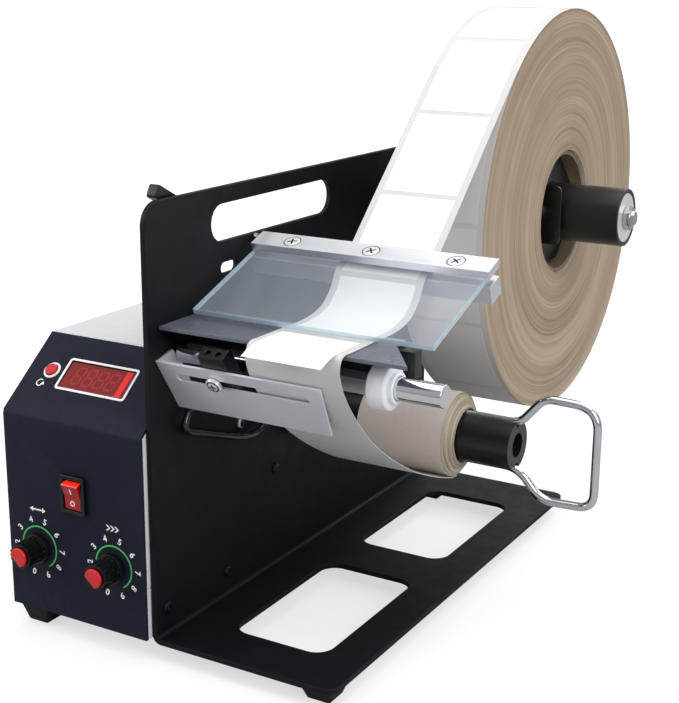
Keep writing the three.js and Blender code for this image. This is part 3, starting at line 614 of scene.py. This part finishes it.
def skin(bm, rows, material=0, capped=False):
    """Faces from row to row of vertices, each row closed on itself."""
    for first, second in zip(rows, rows[1:]):
        for i in range(len(first)):
            j = (i + 1) % len(first)
            face = bm.faces.new((first[i], first[j], second[j], second[i]))
            face.material_index = material
    if capped:
        bm.faces.new(rows[0])
        bm.faces.new(rows[-1])


def disc_stack(profile, segments=48):
    """Turned piece about its own Z axis: profile points are (radius, z)."""
    mesh = turned([(z, radius) for radius, z in profile], segments)
    return placed(mesh, Matrix.Rotation(-math.pi / 2, 4, "Y"))


def block(size, centre):
    bm = bmesh.new()
    bmesh.ops.create_cube(bm, size=1)
    bmesh.ops.scale(bm, vec=size, verts=bm.verts)
    bmesh.ops.translate(bm, vec=centre, verts=bm.verts)
    return closed(bm)


def carve(mesh, cutter):
    """Cuts one mesh out of another."""
    target = add_object("target", mesh)
    tool = add_object("tool", cutter)
    cut = target.modifiers.new("cut", "BOOLEAN")
    cut.operation = "DIFFERENCE"
    cut.solver = "EXACT"
    cut.object = tool
    depsgraph = bpy.context.evaluated_depsgraph_get()
    result = bpy.data.meshes.new_from_object(target.evaluated_get(depsgraph))
    for obj in (target, tool):
        bpy.data.objects.remove(obj)
    return result


def merged(meshes):
    """Several meshes as one."""
    bm = bmesh.new()
    for mesh in meshes:
        bm.from_mesh(mesh)
        bpy.data.meshes.remove(mesh)
    return closed(bm)


def words(text, size, weight, thickness):
    """A numeral as a thin flat piece centred on its own XY plane."""
    curve = bpy.data.curves.new("text", "FONT")
    curve.body = text
    curve.size = size
    curve.align_x = "CENTER"
    curve.align_y = "CENTER"
    curve.offset = weight
    curve.extrude = thickness / 2
    return placed(mesh_of(curve), shift(0, 0, thickness / 2))


# ---------------------------------------------------------------- frame sheet
def frame_sheet():
    """Side plate and base drawn flat as one blank, then folded along its bend."""
    fold = 5.5                    # length of the bend, laid flat
    top = BEND_RADIUS - PLATE_TOP
    right = fold + BASE_RIGHT - BEND_RADIUS
    outline = round_rect(top, right, 0, PLATE_DEPTH, [12, 7, 7, 12], 12)
    handle = round_rect(BEND_RADIUS - 221.3, BEND_RADIUS - 201.5, 56, 177, 9.9, 14)
    slot = round_rect(BEND_RADIUS - 190, BEND_RADIUS - 184, 64, 79, 2.95)
    bores = [ring_points(BEND_RADIUS - z, y, radius) for y, z, radius in
             ((REWIND_Y, REWIND_Z, 6), (GUIDE_Y, GUIDE_Z, 4), (GROMMET_Y, GROMMET_Z, 3.6))]
    across = [fold + x - BEND_RADIUS for x in (27, 84)]
    windows = [round_rect(*across, y0, y1, 10, 12) for y0, y1 in ((30, 132), (167, 269))]
    bm = opened(slab([outline, handle, slot, *bores, *windows], SHEET, 0.45))
    steps = 8
    for i in range(steps + 1):
        geometry = bm.verts[:] + bm.edges[:] + bm.faces[:]
        bmesh.ops.bisect_plane(bm, geom=geometry, plane_co=(fold * i / steps, 0, 0),
                               plane_no=(1, 0, 0), dist=1e-5)
    for vert in bm.verts:
        u, y, depth = vert.co
        angle = min(max(u / fold, 0), 1) * math.pi / 2
        reach = BEND_RADIUS + depth
        x = BEND_RADIUS - reach * math.cos(angle) + max(u - fold, 0)
        z = BEND_RADIUS - reach * math.sin(angle) - min(u, 0)
        vert.co = (x, y, z)
    return closed(bm)


finish_mesh("main_frame_sheet", frame_sheet(), "frame", "frame", ("main_frame",),
            angle=50)

for foot in ("foot_base_front", "foot_base_rear", "foot_base_inner", "foot_box_front",
             "foot_box_rear"):
    refine(foot, "rubber", 1.0, segments=3)


# ---------------------------------------------------------------- screws
def darken_recess(obj, matrix, reach, top):
    """Paints shade into a recess about a screw's own axis: its walls and floor get a near-black
    finish.
    """
    back = (MODEL @ matrix).inverted()

    def in_recess(face):
        spot = back @ face.center
        facing = (back.to_3x3() @ face.normal).normalized()
        return math.hypot(spot.x, spot.y) < reach and (abs(facing.z) < 0.5 or spot.z < top)

    repaint(obj, "dark", in_recess)


def cut_cross(head, radius, depth, top):
    """Cuts a cross recess into a head whose top is at a height."""
    width = radius * 0.36
    for size in ((2 * radius, width, 2 * depth), (width, 2 * radius, 2 * depth)):
        head = carve(head, block(size, (0, 0, top)))
    return head


def screw(name, matrix, radius, height, body, mat="zinc", drive="cross"):
    """Low domed head on a surface, with its recess."""
    profile = [(0, 0), (radius, 0), (radius, height * 0.45), (radius * 0.93, height * 0.75),
               (radius * 0.75, height * 0.95), (radius * 0.5, height), (0, height)]
    head = disc_stack(profile)
    if drive == "cross":
        head = cut_cross(head, radius * 0.58, height * 0.55, height + 0.1)
    elif drive == "slot":
        head = carve(head, block((radius * 2.4, radius * 0.32, height * 0.8), (0, 0, height)))
    elif drive == "hex":
        reach, low, high = radius * 0.55, height * 0.3, height * 2
        head = carve(head, disc_stack([(0, low), (reach, low), (reach, high), (0, high)], 6))
    piece = finish_mesh(name, placed(head, matrix), body, mat, angle=35)
    # painted shade on the walls and floor of the head's recess
    darken_recess(piece, matrix, radius * 0.72, height * 0.6)


def on_plate(y, z):
    return PLATE_FACE @ shift(y, z, 0)


screw("plate_screw_front", on_plate(9.3, 14.8), 3.4, 1.8, "frame", "black", "hex")
screw("plate_screw_lower", on_plate(64.7, 13.6), 3.0, 1.6, "frame", "black", "hex")
screw("motor_screw_front", on_plate(78.5, 97.0), 3.0, 2.2, "frame", "zinc", "hex")
screw("motor_screw_rear", on_plate(115, 59.2), 3.0, 1.4, "frame", "black", "slot")


# ---------------------------------------------------------------- control box
refine("front_panel", "panel", 0.5)
refine("box_cover", "cover", 0.6)
refine("box_tray", "cover", 0.6)
refine("power_inlet", "black", 0.4)


def sticker(name, outlines, base, mat="white_ink", thickness=0.06, body="frame"):
    """Thin flat print on a face."""
    finish_mesh(name, placed(slab(outlines, thickness), base), body, mat)


def display():
    """White frame, red window, four dim digits and the lit bar at their right."""
    centre = SLOPE @ shift(DISPLAY_X, DISPLAY_ALONG, 0)
    bezel = [round_rect(-23.4, 23.4, -10.2, 10.2, 1.9), round_rect(-22.1, 22.1, -8.9, 8.9, 0.9)]
    mesh = placed(slab(bezel, 0.5, 0.15), centre)
    finish_mesh("display_frame", mesh, "frame", "white_ink")
    refine("display_window", "display", 0.3)
    top = centre @ shift(0, 0, -0.2)
    lean, half, tall, edge, gap = 0.16, 2.6, 5.2, 0.55, 0.55
    bars = [(-half + gap, half - gap, b - edge, b + edge) for b in (tall, 0, -tall)]
    bars += [(a - edge, a + edge, b + gap, b + tall - gap) for b in (0, -tall) for a in (-half, half)]
    cells = []
    for digit in range(4):
        middle = -12.6 + digit * 7.6
        for a0, a1, b0, b1 in bars:
            corners = [(a0, b0), (a1, b0), (a1, b1), (a0, b1)]
            cells.append([(middle + a + lean * b, b) for a, b in corners])
    sticker("display_digits", cells, top, "segment")
    glow = [(15.4, -8.1), (19.2, -8.1), (19.8, 8.1), (16.0, 8.1)]
    sticker("display_bar", [glow], top, "bar")


def reset():
    refine("reset_button", "red", 0.4)
    centre = SLOPE @ shift(RESET_X, RESET_ALONG, 0)
    profile = [(3.75, 0.02), (3.75, 0.5), (4.1, 0.75), (4.6, 0.75), (5.0, 0.4), (5.0, 0.02)]
    ring = placed(disc_stack(profile, 64), centre)
    finish_mesh("reset_ring", ring, "frame", "white_ink", angle=60)
    icon = centre @ shift(-3.2, -8.6, 0)
    arc = arc_band(2.3, 1.75, 28, math.radians(60), math.radians(340))
    arrow = [(0.72, -0.9), (3.32, -0.9), (2.1, 1.0)]
    sticker("reset_icon", [arc, arrow], icon, thickness=0.04)


def rocker():
    """Rocker switch with its two faces marked, and a painted highlight that makes its upward faces
    glow.
    """
    refine("switch_housing", "gloss_black", 0.35)
    rocker_piece = refine("power_rocker", "rocker", 0.35)
    # painted highlight: faces that look up glow, standing in for the top light on them
    repaint(rocker_piece, "rocker_top_painted_highlight", lambda face: face.normal.z > 0.7)
    turn = shift(ROCKER_X, ROCKER_Y, ROCKER_Z)
    turn = turn @ Matrix.Rotation(ROCKER_SWING, 4, "X")
    faces = {"on": ((-5.8, 7.2), (-4.6, 0)), "off": ((-4.6, 0), (-5.8, -7.2))}
    for state, ((y0, z0), (y1, z1)) in faces.items():
        middle = Vector((0, (y0 + y1) / 2, (z0 + z1) / 2))
        face = turn @ frame_of(middle, (1, 0, 0), (0, y0 - y1, z0 - z1))
        face = face @ shift(0, 0, 0.02)
        if state == "on":
            outlines = [round_rect(-0.4, 0.4, -1.8, 1.8, 0.3, 4)]
        else:
            outlines = [ring_points(0, 0, 1.6), ring_points(0, 0, 1.0)]
        sticker("rocker_mark_" + state, outlines, face, body="rocker")


def dial(name, x):
    """Knob with its red cap, and the scale, numerals and icon round it."""
    refine(name + "_knob", "gloss_black", 0.18, angle=50)
    tip = box_mm(name + "_knob_cap")[0].y
    flat = math.radians(52)
    facing = math.radians(228)
    radius, thickness = 5.2, 1.8
    outline = ring_points(0, 0, radius, 48, facing + flat, facing + 2 * math.pi - flat)
    place = frame_of((x, tip + thickness, KNOB_Z), (1, 0, 0), (0, 0, 1))
    cap = placed(slab([outline], thickness, 0.6), place)
    finish_mesh(name + "_cap_disc", cap, name, "red", (name + "_knob_cap",))
    centre = FRONT @ shift(x, KNOB_Z, 0)
    arc = arc_band(12.2, 11.4, 60, math.radians(90 - 148), math.radians(90 + 82))
    sticker(name + "_scale", [arc], centre, "green_ink")
    first, step = -163, 36        # clockwise from the top, in degrees
    outward = shift(0, 15.7, 0)
    marks = []
    for value in range(10):
        turn = Matrix.Rotation(-math.radians(first + step * value), 4, "Z")
        marks.append(placed(words(str(value), 4.9, 0.1, 0.05), centre @ turn @ outward))
    finish_mesh(name + "_numerals", merged(marks), "frame", "white_ink")
    icon = centre @ shift(0, 21.6, 0)
    if name == "length":
        shapes = [[(-5.5, 0), (-3.2, 1.5), (-3.2, 0.4), (3.2, 0.4), (3.2, 1.5), (5.5, 0),
                   (3.2, -1.5), (3.2, -0.4), (-3.2, -0.4), (-3.2, -1.5)]]
    else:
        shapes = [[(a, 1.6), (a + 1.1, 1.6), (a + 3, 0), (a + 1.1, -1.6), (a, -1.6), (a + 1.9, 0)]
                  for a in (-4.2, -1.4, 1.4)]
    sticker(name + "_icon", shapes, icon)


display()
reset()
rocker()
for knob_name, knob_x in KNOBS.items():
    dial(knob_name, knob_x)


# ---------------------------------------------------------------- supply roll
def wound(inner, outer, x0, x1, y, z, pitch, depth, seed, segments=144, lip=None):
    """Wound roll whose side faces show layers that stand a little in or out."""
    count = int((outer - inner) / pitch)
    radii = [inner + (outer - inner) * i / count for i in range(count + 1)]

    def inset(radius, angle, side):
        spot = Vector((radius * 0.9, math.cos(angle) * 0.5 + seed, math.sin(angle) * 0.5 + side))
        fine = abs(noise.noise(spot * 1.7))
        broad = 0.5 + 0.5 * noise.noise(Vector((radius * 0.11, math.cos(angle) * 0.7, side + seed)))
        rim = max(0.0, 1 - abs(radius - outer) / 0.8)
        return depth * (0.55 * fine + 0.6 * broad) * (1 - rim) + 0.02

    bm = bmesh.new()
    angles = [2 * math.pi * i / segments for i in range(segments)]
    sides = []
    for side, x in ((0, x0), (7, x1)):
        sign = 1 if side == 0 else -1
        rows = []
        for radius in radii:
            raised = lip(radius) if lip and side else 0
            rows.append([bm.verts.new(around(x + sign * inset(radius, a, side) + raised, radius,
                                             a, y, z)) for a in angles])
        sides.append(rows)
        skin(bm, rows, 1)
    for row in (0, -1):
        skin(bm, (sides[0][row], sides[1][row]))
    return closed(bm)


def supply_roll(front, leave):
    """The roll; its labels run on from the web, whose last label reaches a distance past
    the place where the web leaves."""
    outer = radius_mm("label_roll")
    mesh = wound(CORE_RADIUS, outer - 0.15, WEB_LEFT, WEB_RIGHT, SUPPLY_Y, SUPPLY_Z, pitch=0.7,
                 depth=0.5, seed=3.0)
    roll = finish_mesh("label_roll_wound", mesh, "supply", "roll_paper",
                       ("label_roll",), angle=60)
    roll.data.materials.append(MAT["roll_side"])
    steps = 14
    count = round(2 * math.pi * outer / (LABEL_LENGTH + LABEL_GAP))
    sweep = 2 * math.pi / count - LABEL_GAP / outer
    first_end = math.atan2(leave.y - SUPPLY_Z, leave.x - SUPPLY_Y) + front / outer
    under = outer - LABEL_THICKNESS
    corners = [(LABEL_LEFT, outer), (LABEL_RIGHT, outer), (LABEL_RIGHT, under), (LABEL_LEFT, under)]
    bm = bmesh.new()
    for index in range(count):
        start = first_end - sweep + index * 2 * math.pi / count
        rows = []
        for i in range(steps + 1):
            angle = start + sweep * i / steps
            rows.append([bm.verts.new(around(x, radius, angle, SUPPLY_Y, SUPPLY_Z))
                         for x, radius in corners])
        skin(bm, rows, capped=True)
    finish_mesh("roll_labels", closed(bm), "supply", "roll_label", angle=30)


refine("roll_core", "core", 0.3)
refine("core_holder", "black", 0.8, angle=35)
refine("core_clip", "clip", 0.25)
refine("spindle_sleeve", "tube", 0.4)
refine("supply_shaft", "zinc", 0.3)
refine("end_washer", "bright", 0.15)
refine("end_nut", "steel", 0.3)
screw("clip_screw", frame_of((99.5, SUPPLY_Y - 26, SUPPLY_Z + 2), (0, 1, 0), (0, 0, 1)), 2.8, 1.3,
      "supply", "bright")


# ---------------------------------------------------------------- web
def press_point(distance, height):
    point = PRESS @ Vector((0, distance, height))
    return point.y, point.z


def catmull(points):
    """Centripetal Catmull-Rom curve through points of the side view."""
    steps = 24
    knots = [Vector(p) for p in points]
    knots = [2 * knots[0] - knots[1], *knots, 2 * knots[-1] - knots[-2]]
    line = []
    for p0, p1, p2, p3 in zip(knots, knots[1:], knots[2:], knots[3:]):
        d0, d1, d2 = [math.sqrt((b - a).length) for a, b in ((p0, p1), (p1, p2), (p2, p3))]
        leave = ((p1 - p0) / d0 - (p2 - p0) / (d0 + d1) + (p2 - p1) / d1) * d1
        arrive = ((p2 - p1) / d1 - (p3 - p1) / (d1 + d2) + (p3 - p2) / d2) * d1
        for i in range(steps):
            t = i / steps
            line.append(p1 * (2 * t ** 3 - 3 * t * t + 1) + leave * (t ** 3 - 2 * t * t + t)
                        + p2 * (3 * t * t - 2 * t ** 3) + arrive * (t ** 3 - t * t))
    line.append(knots[-2])
    return line


# The web's centre line in the side view, from the support bar to the rewound roll.
BAR_POINT = press_point(71.2, -GLASS_THICKNESS - 0.6)
UNDER_GLASS = [press_point(69.6, -GLASS_THICKNESS - 0.7), press_point(60.6, -GLASS_THICKNESS - 1.2),
               (83.5, 179.6), (76, 173), (66.5, 169.7), (56, FLAT_Z), (34, FLAT_Z), (14, FLAT_Z)]
ROUND_EDGE = [(9, FLAT_Z + 0.1), (5.9, 167.2), (4.4, 164.4), (3.9, 161), (5.1, 156.2), (8.7, 149),
              (14.3, 140.9), (23.7, 130.2), (35.8, 118.5), (54.9, 104.3), (84.2, 87.4),
              (103.4, 78.8), (118.4, 73.1), (129, 69.7)]


def straight_span():
    """From the roll's tangent point down to the support bar."""
    through = Vector((89.4, 188.2))
    centre = Vector((SUPPLY_Y, SUPPLY_Z))
    wrap = radius_mm("label_roll") + GAP + WEB_THICKNESS / 2
    reach = centre - through
    aim = math.atan2(reach.y, reach.x) + math.asin(wrap / reach.length)
    run = math.sqrt(reach.length ** 2 - wrap ** 2)
    top = through + Vector((math.cos(aim), math.sin(aim))) * run
    end = Vector(BAR_POINT)
    return [top + (end - top) * i / 24 for i in range(24)]


def measured(line):
    """A line with the distance of each point from its start."""
    lengths = [0.0]
    for a, b in zip(line, line[1:]):
        lengths.append(lengths[-1] + (b - a).length)
    return lengths


def point_at(line, lengths, distance):
    """Point of a measured line at a distance from its start."""
    for i in range(1, len(line)):
        if lengths[i] >= distance:
            share = (distance - lengths[i - 1]) / (lengths[i] - lengths[i - 1])
            return line[i - 1].lerp(line[i], share)
    return line[-1]


def strip(line, x0, x1, low, high):
    """Sheet along a line of the side view, from one offset to another above the line."""
    bm = bmesh.new()
    rows = []
    for i, point in enumerate(line):
        along = (line[min(i + 1, len(line) - 1)] - line[max(i - 1, 0)]).normalized()
        normal = Vector((along.y, -along.x))
        spots = [(x0, high), (x1, high), (x1, low), (x0, low)]
        rows.append([bm.verts.new((x, *(point + normal * height))) for x, height in spots])
    skin(bm, rows, capped=True)
    return closed(bm)


def web():
    """The web with its labels, and the label that comes off the peel plate."""
    low_z = REWIND_Z - REWOUND_RADIUS - GAP - WEB_THICKNESS / 2
    path = straight_span() + catmull(UNDER_GLASS + ROUND_EDGE) + [Vector((REWIND_Y - 1, low_z))]
    half = WEB_THICKNESS / 2
    mesh = strip(path, WEB_LEFT, WEB_RIGHT, -half, half)
    finish_mesh("label_web_sheet", mesh, "frame", "liner", ("label_web",), angle=60)
    lengths = measured(path)

    def passing(y):
        """Distance along the web at which it has come forward to a place."""
        return next(d for point, d in zip(path, lengths) if point.x <= y)

    front = passing(40.0)
    for index in range(1, 9):
        begin = max(front - LABEL_LENGTH, 0.3)
        if front > 1:
            line = [point_at(path, lengths, begin + (front - begin) * i / 40) for i in range(41)]
            sheet = strip(line, LABEL_LEFT, LABEL_RIGHT, half + 0.02, half + 0.12)
            finish_mesh(f"web_label_{index}", sheet, "frame", "label", angle=60)
        if front <= LABEL_LENGTH:
            break
        front -= LABEL_LENGTH + LABEL_GAP
    held = [point_at(path, lengths, passing(y)) for y in (31.2, 26, 20, 14)]
    free = catmull([*held, (8, FLAT_Z), (1, FLAT_Z - 1.2), (-6, FLAT_Z - 4)])
    sheet = strip(free, LABEL_LEFT, LABEL_RIGHT, half + 0.1, half + 0.2)
    finish_mesh("label_front", sheet, "frame", "label", angle=60)
    return front, path[0]


supply_roll(*web())


# ---------------------------------------------------------------- press plate
def glass():
    low, high = box_mm("glass_plate")
    outline = round_rect(low.x, high.x, 0, GLASS_LENGTH, 0.8, 4)
    mesh = placed(slab([outline], GLASS_THICKNESS, 0.35),
                  PRESS @ shift(0, 0, -GLASS_THICKNESS))
    obj = finish_mesh("glass_pane", mesh, "press", "glass", ("glass_plate",), angle=30)
    flat = (PRESS.to_3x3() @ Vector((0, 0, 1))).normalized()
    repaint(obj, "glass_edge", lambda face: abs(face.normal.dot(flat)) < 0.9)


def clamp():
    refine("clamp_strip", "aluminium", 0.25, angle=50)
    refine("support_bar", "aluminium", 0.3)
    refine("hinge_pin", "zinc", 0.1)
    depth = 2.6                   # of a countersunk head
    for index, x in enumerate(CLAMP_SCREW_X, 1):
        head = PRESS @ shift(x, STRIP_MIDDLE, STRIP_TOP - depth)
        head = head @ Matrix.Rotation(math.radians(17 * index), 4, "Z")
        profile = [(0, 0), (2, 0), (4.2, 2.15), (4.35, 2.35), (4.35, 2.5), (4.1, 2.62), (0, 2.66)]
        mesh = cut_cross(disc_stack(profile), 2.7, 1.2, 2.7)
        piece = finish_mesh(f"strip_screw_{index}", placed(mesh, head), "press", "bright",
                            (f"clamp_screw_{index}",), angle=35)
        # painted shade on the walls and floor of the head's cross recess
        darken_recess(piece, head, 2.9, 2.4)
        # painted shadow: a thin dark ring on the strip where the gap round the head lies in shade
        spot = PRESS @ shift(x, STRIP_MIDDLE, 4.33)
        sticker(f"strip_screw_shadow_ring_{index}", [ring_points(0, 0, 4.98), ring_points(0, 0, 4.3)], spot,
                "dark", 0.05, "press")


glass()
clamp()


# ---------------------------------------------------------------- peel plate, roller and sensor
refine("peel_plate", "peel", 0.25)
refine("peel_bar", "tube", 0.4)
refine("guide_roller", "chrome", 0.35, angle=50)
refine("guide_collar", "nylon", 0.5, angle=50, segments=3)
refine("guide_bearing", "zinc", 0.3)
refine("sensor_bracket", "stainless", 0.2, angle=50)
refine("sensor_head", "black", 0.35)
refine("cable_grommet", "rubber", 0.3)
refine("sensor_cable", "cable", 0.0, angle=60)


def lock_screw():
    """Flat head with a ring and a cross, on the front of the slotted bracket."""
    low, high = box_mm("sensor_lock_screw")
    spot = BRACKET @ shift((low.x + high.x) / 2, -0.3, -9.3)
    spot = spot @ Matrix.Rotation(math.pi / 2, 4, "X")
    profile = [(0, -6.5), (1.6, -6.5), (1.6, 0), (4.3, 0), (4.3, 1.5), (4, 1.95), (3.5, 1.95),
               (3.4, 1.4), (2.9, 1.4), (2.8, 2.1), (2.4, 2.25), (0, 2.3)]
    mesh = cut_cross(disc_stack(profile), 2.1, 1.0, 2.3)
    piece = finish_mesh("lock_screw", placed(mesh, spot), "sensor", "bright",
                        ("sensor_lock_screw",), angle=35)
    # painted shade on the walls and floor of the head's cross recess
    darken_recess(piece, spot, 3.45, 1.45)


lock_screw()


# ---------------------------------------------------------------- rewind spindle
def bail():
    """Round wire: two legs in the tube's grooves and a wide loop at the end."""
    wire, leg, half = 2.3, 12.7, 28.8
    start, end = box_mm("rewind_bail")[0].x, box_mm("rewind_bail")[1].x - wire
    corners = [(start, leg), (143, leg), (156.5, half), (end, half - 1), (end, -half + 1),
               (156.5, -half), (143, -leg), (start, -leg)]
    radii = [0, 6, 6, 13, 9, 8, 8, 0]
    points = [Vector(corners[0])]
    for before, corner, after, radius in zip(corners, corners[1:], corners[2:], radii[1:]):
        corner = Vector(corner)
        enter = corner + (Vector(before) - corner).normalized() * radius
        leave = corner + (Vector(after) - corner).normalized() * radius
        for i in range(13):
            t = i / 12
            points.append(enter * (1 - t) ** 2 + corner * 2 * t * (1 - t) + leave * t * t)
    points.append(Vector(corners[-1]))
    curve = bpy.data.curves.new("wire", "CURVE")
    curve.dimensions = "3D"
    curve.bevel_depth = wire
    curve.bevel_resolution = 6
    curve.use_fill_caps = True
    spline = curve.splines.new("POLY")
    spline.points.add(len(points) - 1)
    for knot, (x, reach) in zip(spline.points, points):
        knot.co = (x, REWIND_Y, REWIND_Z + reach, 1)
    finish_mesh("bail_wire", mesh_of(curve), "bail", "wire", ("rewind_bail",), angle=60)


def rewound():
    """Rewound backing paper: loose outer turns and a few inner turns that stand out."""
    low, high = box_mm("rewound_liner")
    steps = ((22.4, 0.9), (20.8, 1.5), (18.6, 1.2), (16.8, 1.4))

    def lip(radius):
        return sum(rise for edge, rise in steps if radius < edge)

    mesh = wound(15.3, radius_mm("rewound_liner"), low.x, high.x - 1.2, REWIND_Y, REWIND_Z,
                 pitch=0.3, depth=0.9, seed=11.0, segments=96, lip=lip)
    roll = finish_mesh("rewound_liner_wound", mesh, "rewind", "rewound",
                       ("rewound_liner",), angle=60)
    roll.data.materials.append(MAT["rewound_side"])


bail()
rewound()
refine("rewind_tube", "tube", 0.35, angle=50)
refine("rewind_bearing", "zinc", 0.3)
refine("rewind_shaft", "steel", 0.3)
refine("release_lever", "black", 0.6)
refine("lever_pivot", "zinc", 0.2)

# Pieces inside the box keep their CAD shape and get their own finish.
INSIDE = {
    "display_module": "black", "reset_switch": "black", "length_pot": "zinc", "speed_pot": "zinc",
    "control_board": "board", "transformer": "zinc", "gear_motor": "zinc", "motor_pinion": "brass",
    "spindle_gear": "nylon",
}
for inner_name, inner_mat in INSIDE.items():
    inner = frame["nodes"][inner_name]
    inner.data.materials.clear()
    inner.data.materials.append(MAT[inner_mat])


# ---------------------------------------------------------------- studio
def floor():
    """Pale floor, which looks brighter to the camera than it is to the object."""
    s = Surface("pale_floor", 0.7, Specular_IOR_Level=0.1, Emission_Color=(1, 1, 1, 1))
    s.colour(s.ramp(s.noise(3), [(0.3, (0.42, 0.42, 0.43)), (0.7, (0.44, 0.44, 0.44))]))
    seen = s.add("ShaderNodeLightPath").outputs["Is Camera Ray"]
    near = s.add("ShaderNodeTexGradient", gradient_type="SPHERICAL")
    s.link(s.place((0.8, 0.8, 0.8)), near.inputs["Vector"])
    glow = s.span(near.outputs["Fac"], 0.86, 0.62, (0, 0.72))
    s.link(s.maths("MULTIPLY", seen, glow), s.shader.inputs["Emission Strength"])
    bm = bmesh.new()
    bmesh.ops.create_grid(bm, x_segments=1, y_segments=1, size=30)
    mesh = closed(bm)
    mesh.transform(shift(0, 0, -0.0004))
    mesh.materials.append(s.material)
    obj = add_object("floor", mesh)


def area_light(name, place, target, size, power):
    data = bpy.data.lights.new(name, "AREA")
    data.shape = "RECTANGLE"
    data.size, data.size_y = size
    data.energy = power
    obj = add_object(name, data)
    obj.location = place
    obj.rotation_euler = (Vector(target) - Vector(place)).to_track_quat("-Z", "Y").to_euler()


def background(tree, colour, strength):
    node = tree.nodes.new("ShaderNodeBackground")
    node.inputs["Color"].default_value = (*colour, 1)
    node.inputs["Strength"].default_value = strength
    return node


def studio():
    """Four soft boxes, and a world that lights softly but looks white to the camera."""
    floor()
    area_light("top_box", (0.1, 0.0, 1.5), (0, 0, 0.1), (1.6, 1.6), 15)
    area_light("left_box", (-1.3, -1.0, 0.9), (0, 0, 0.12), (0.9, 1.2), 12)
    area_light("right_box", (1.5, -0.7, 0.9), (0, 0, 0.15), (0.9, 1.3), 15)
    area_light("back_box", (0.3, 1.6, 1.1), (0, 0.1, 0.2), (1.6, 0.8), 10)
    world = bpy.data.worlds.new("studio")
    bpy.context.scene.world = world
    world.use_nodes = True
    tree = world.node_tree
    tree.nodes.clear()
    path = tree.nodes.new("ShaderNodeLightPath")
    soft = background(tree, (0.95, 0.97, 1), 0.42)
    white = background(tree, (1, 1, 1), 1.0)
    blend = tree.nodes.new("ShaderNodeMixShader")
    output = tree.nodes.new("ShaderNodeOutputWorld")
    tree.links.new(path.outputs["Is Camera Ray"], blend.inputs["Fac"])
    tree.links.new(soft.outputs["Background"], blend.inputs[1])
    tree.links.new(white.outputs["Background"], blend.inputs[2])
    tree.links.new(blend.outputs["Shader"], output.inputs["Surface"])
    view = bpy.context.scene.view_settings
    view.view_transform = "Standard"
    view.look = "None"


def camera():
    """The product view: from the front right, a little above."""
    data = bpy.data.cameras.new("camera")
    data.sensor_width = 36
    data.lens = 70.22
    data.clip_start = 0.05
    back = Vector((0.4824, -0.8340, 0.2680)).normalized()
    level = Vector((0, 0, 1)).cross(back).normalized()
    upright = back.cross(level)
    turn = Matrix((level, upright, back)).transposed().to_4x4()
    roll = Matrix.Rotation(math.radians(0.43), 4, "Z")
    obj = add_object("camera", data)
    obj.matrix_world = Matrix.Translation(at(408.9, -517.8, 339.3)) @ turn @ roll
    bpy.context.scene.camera = obj


studio()
camera()
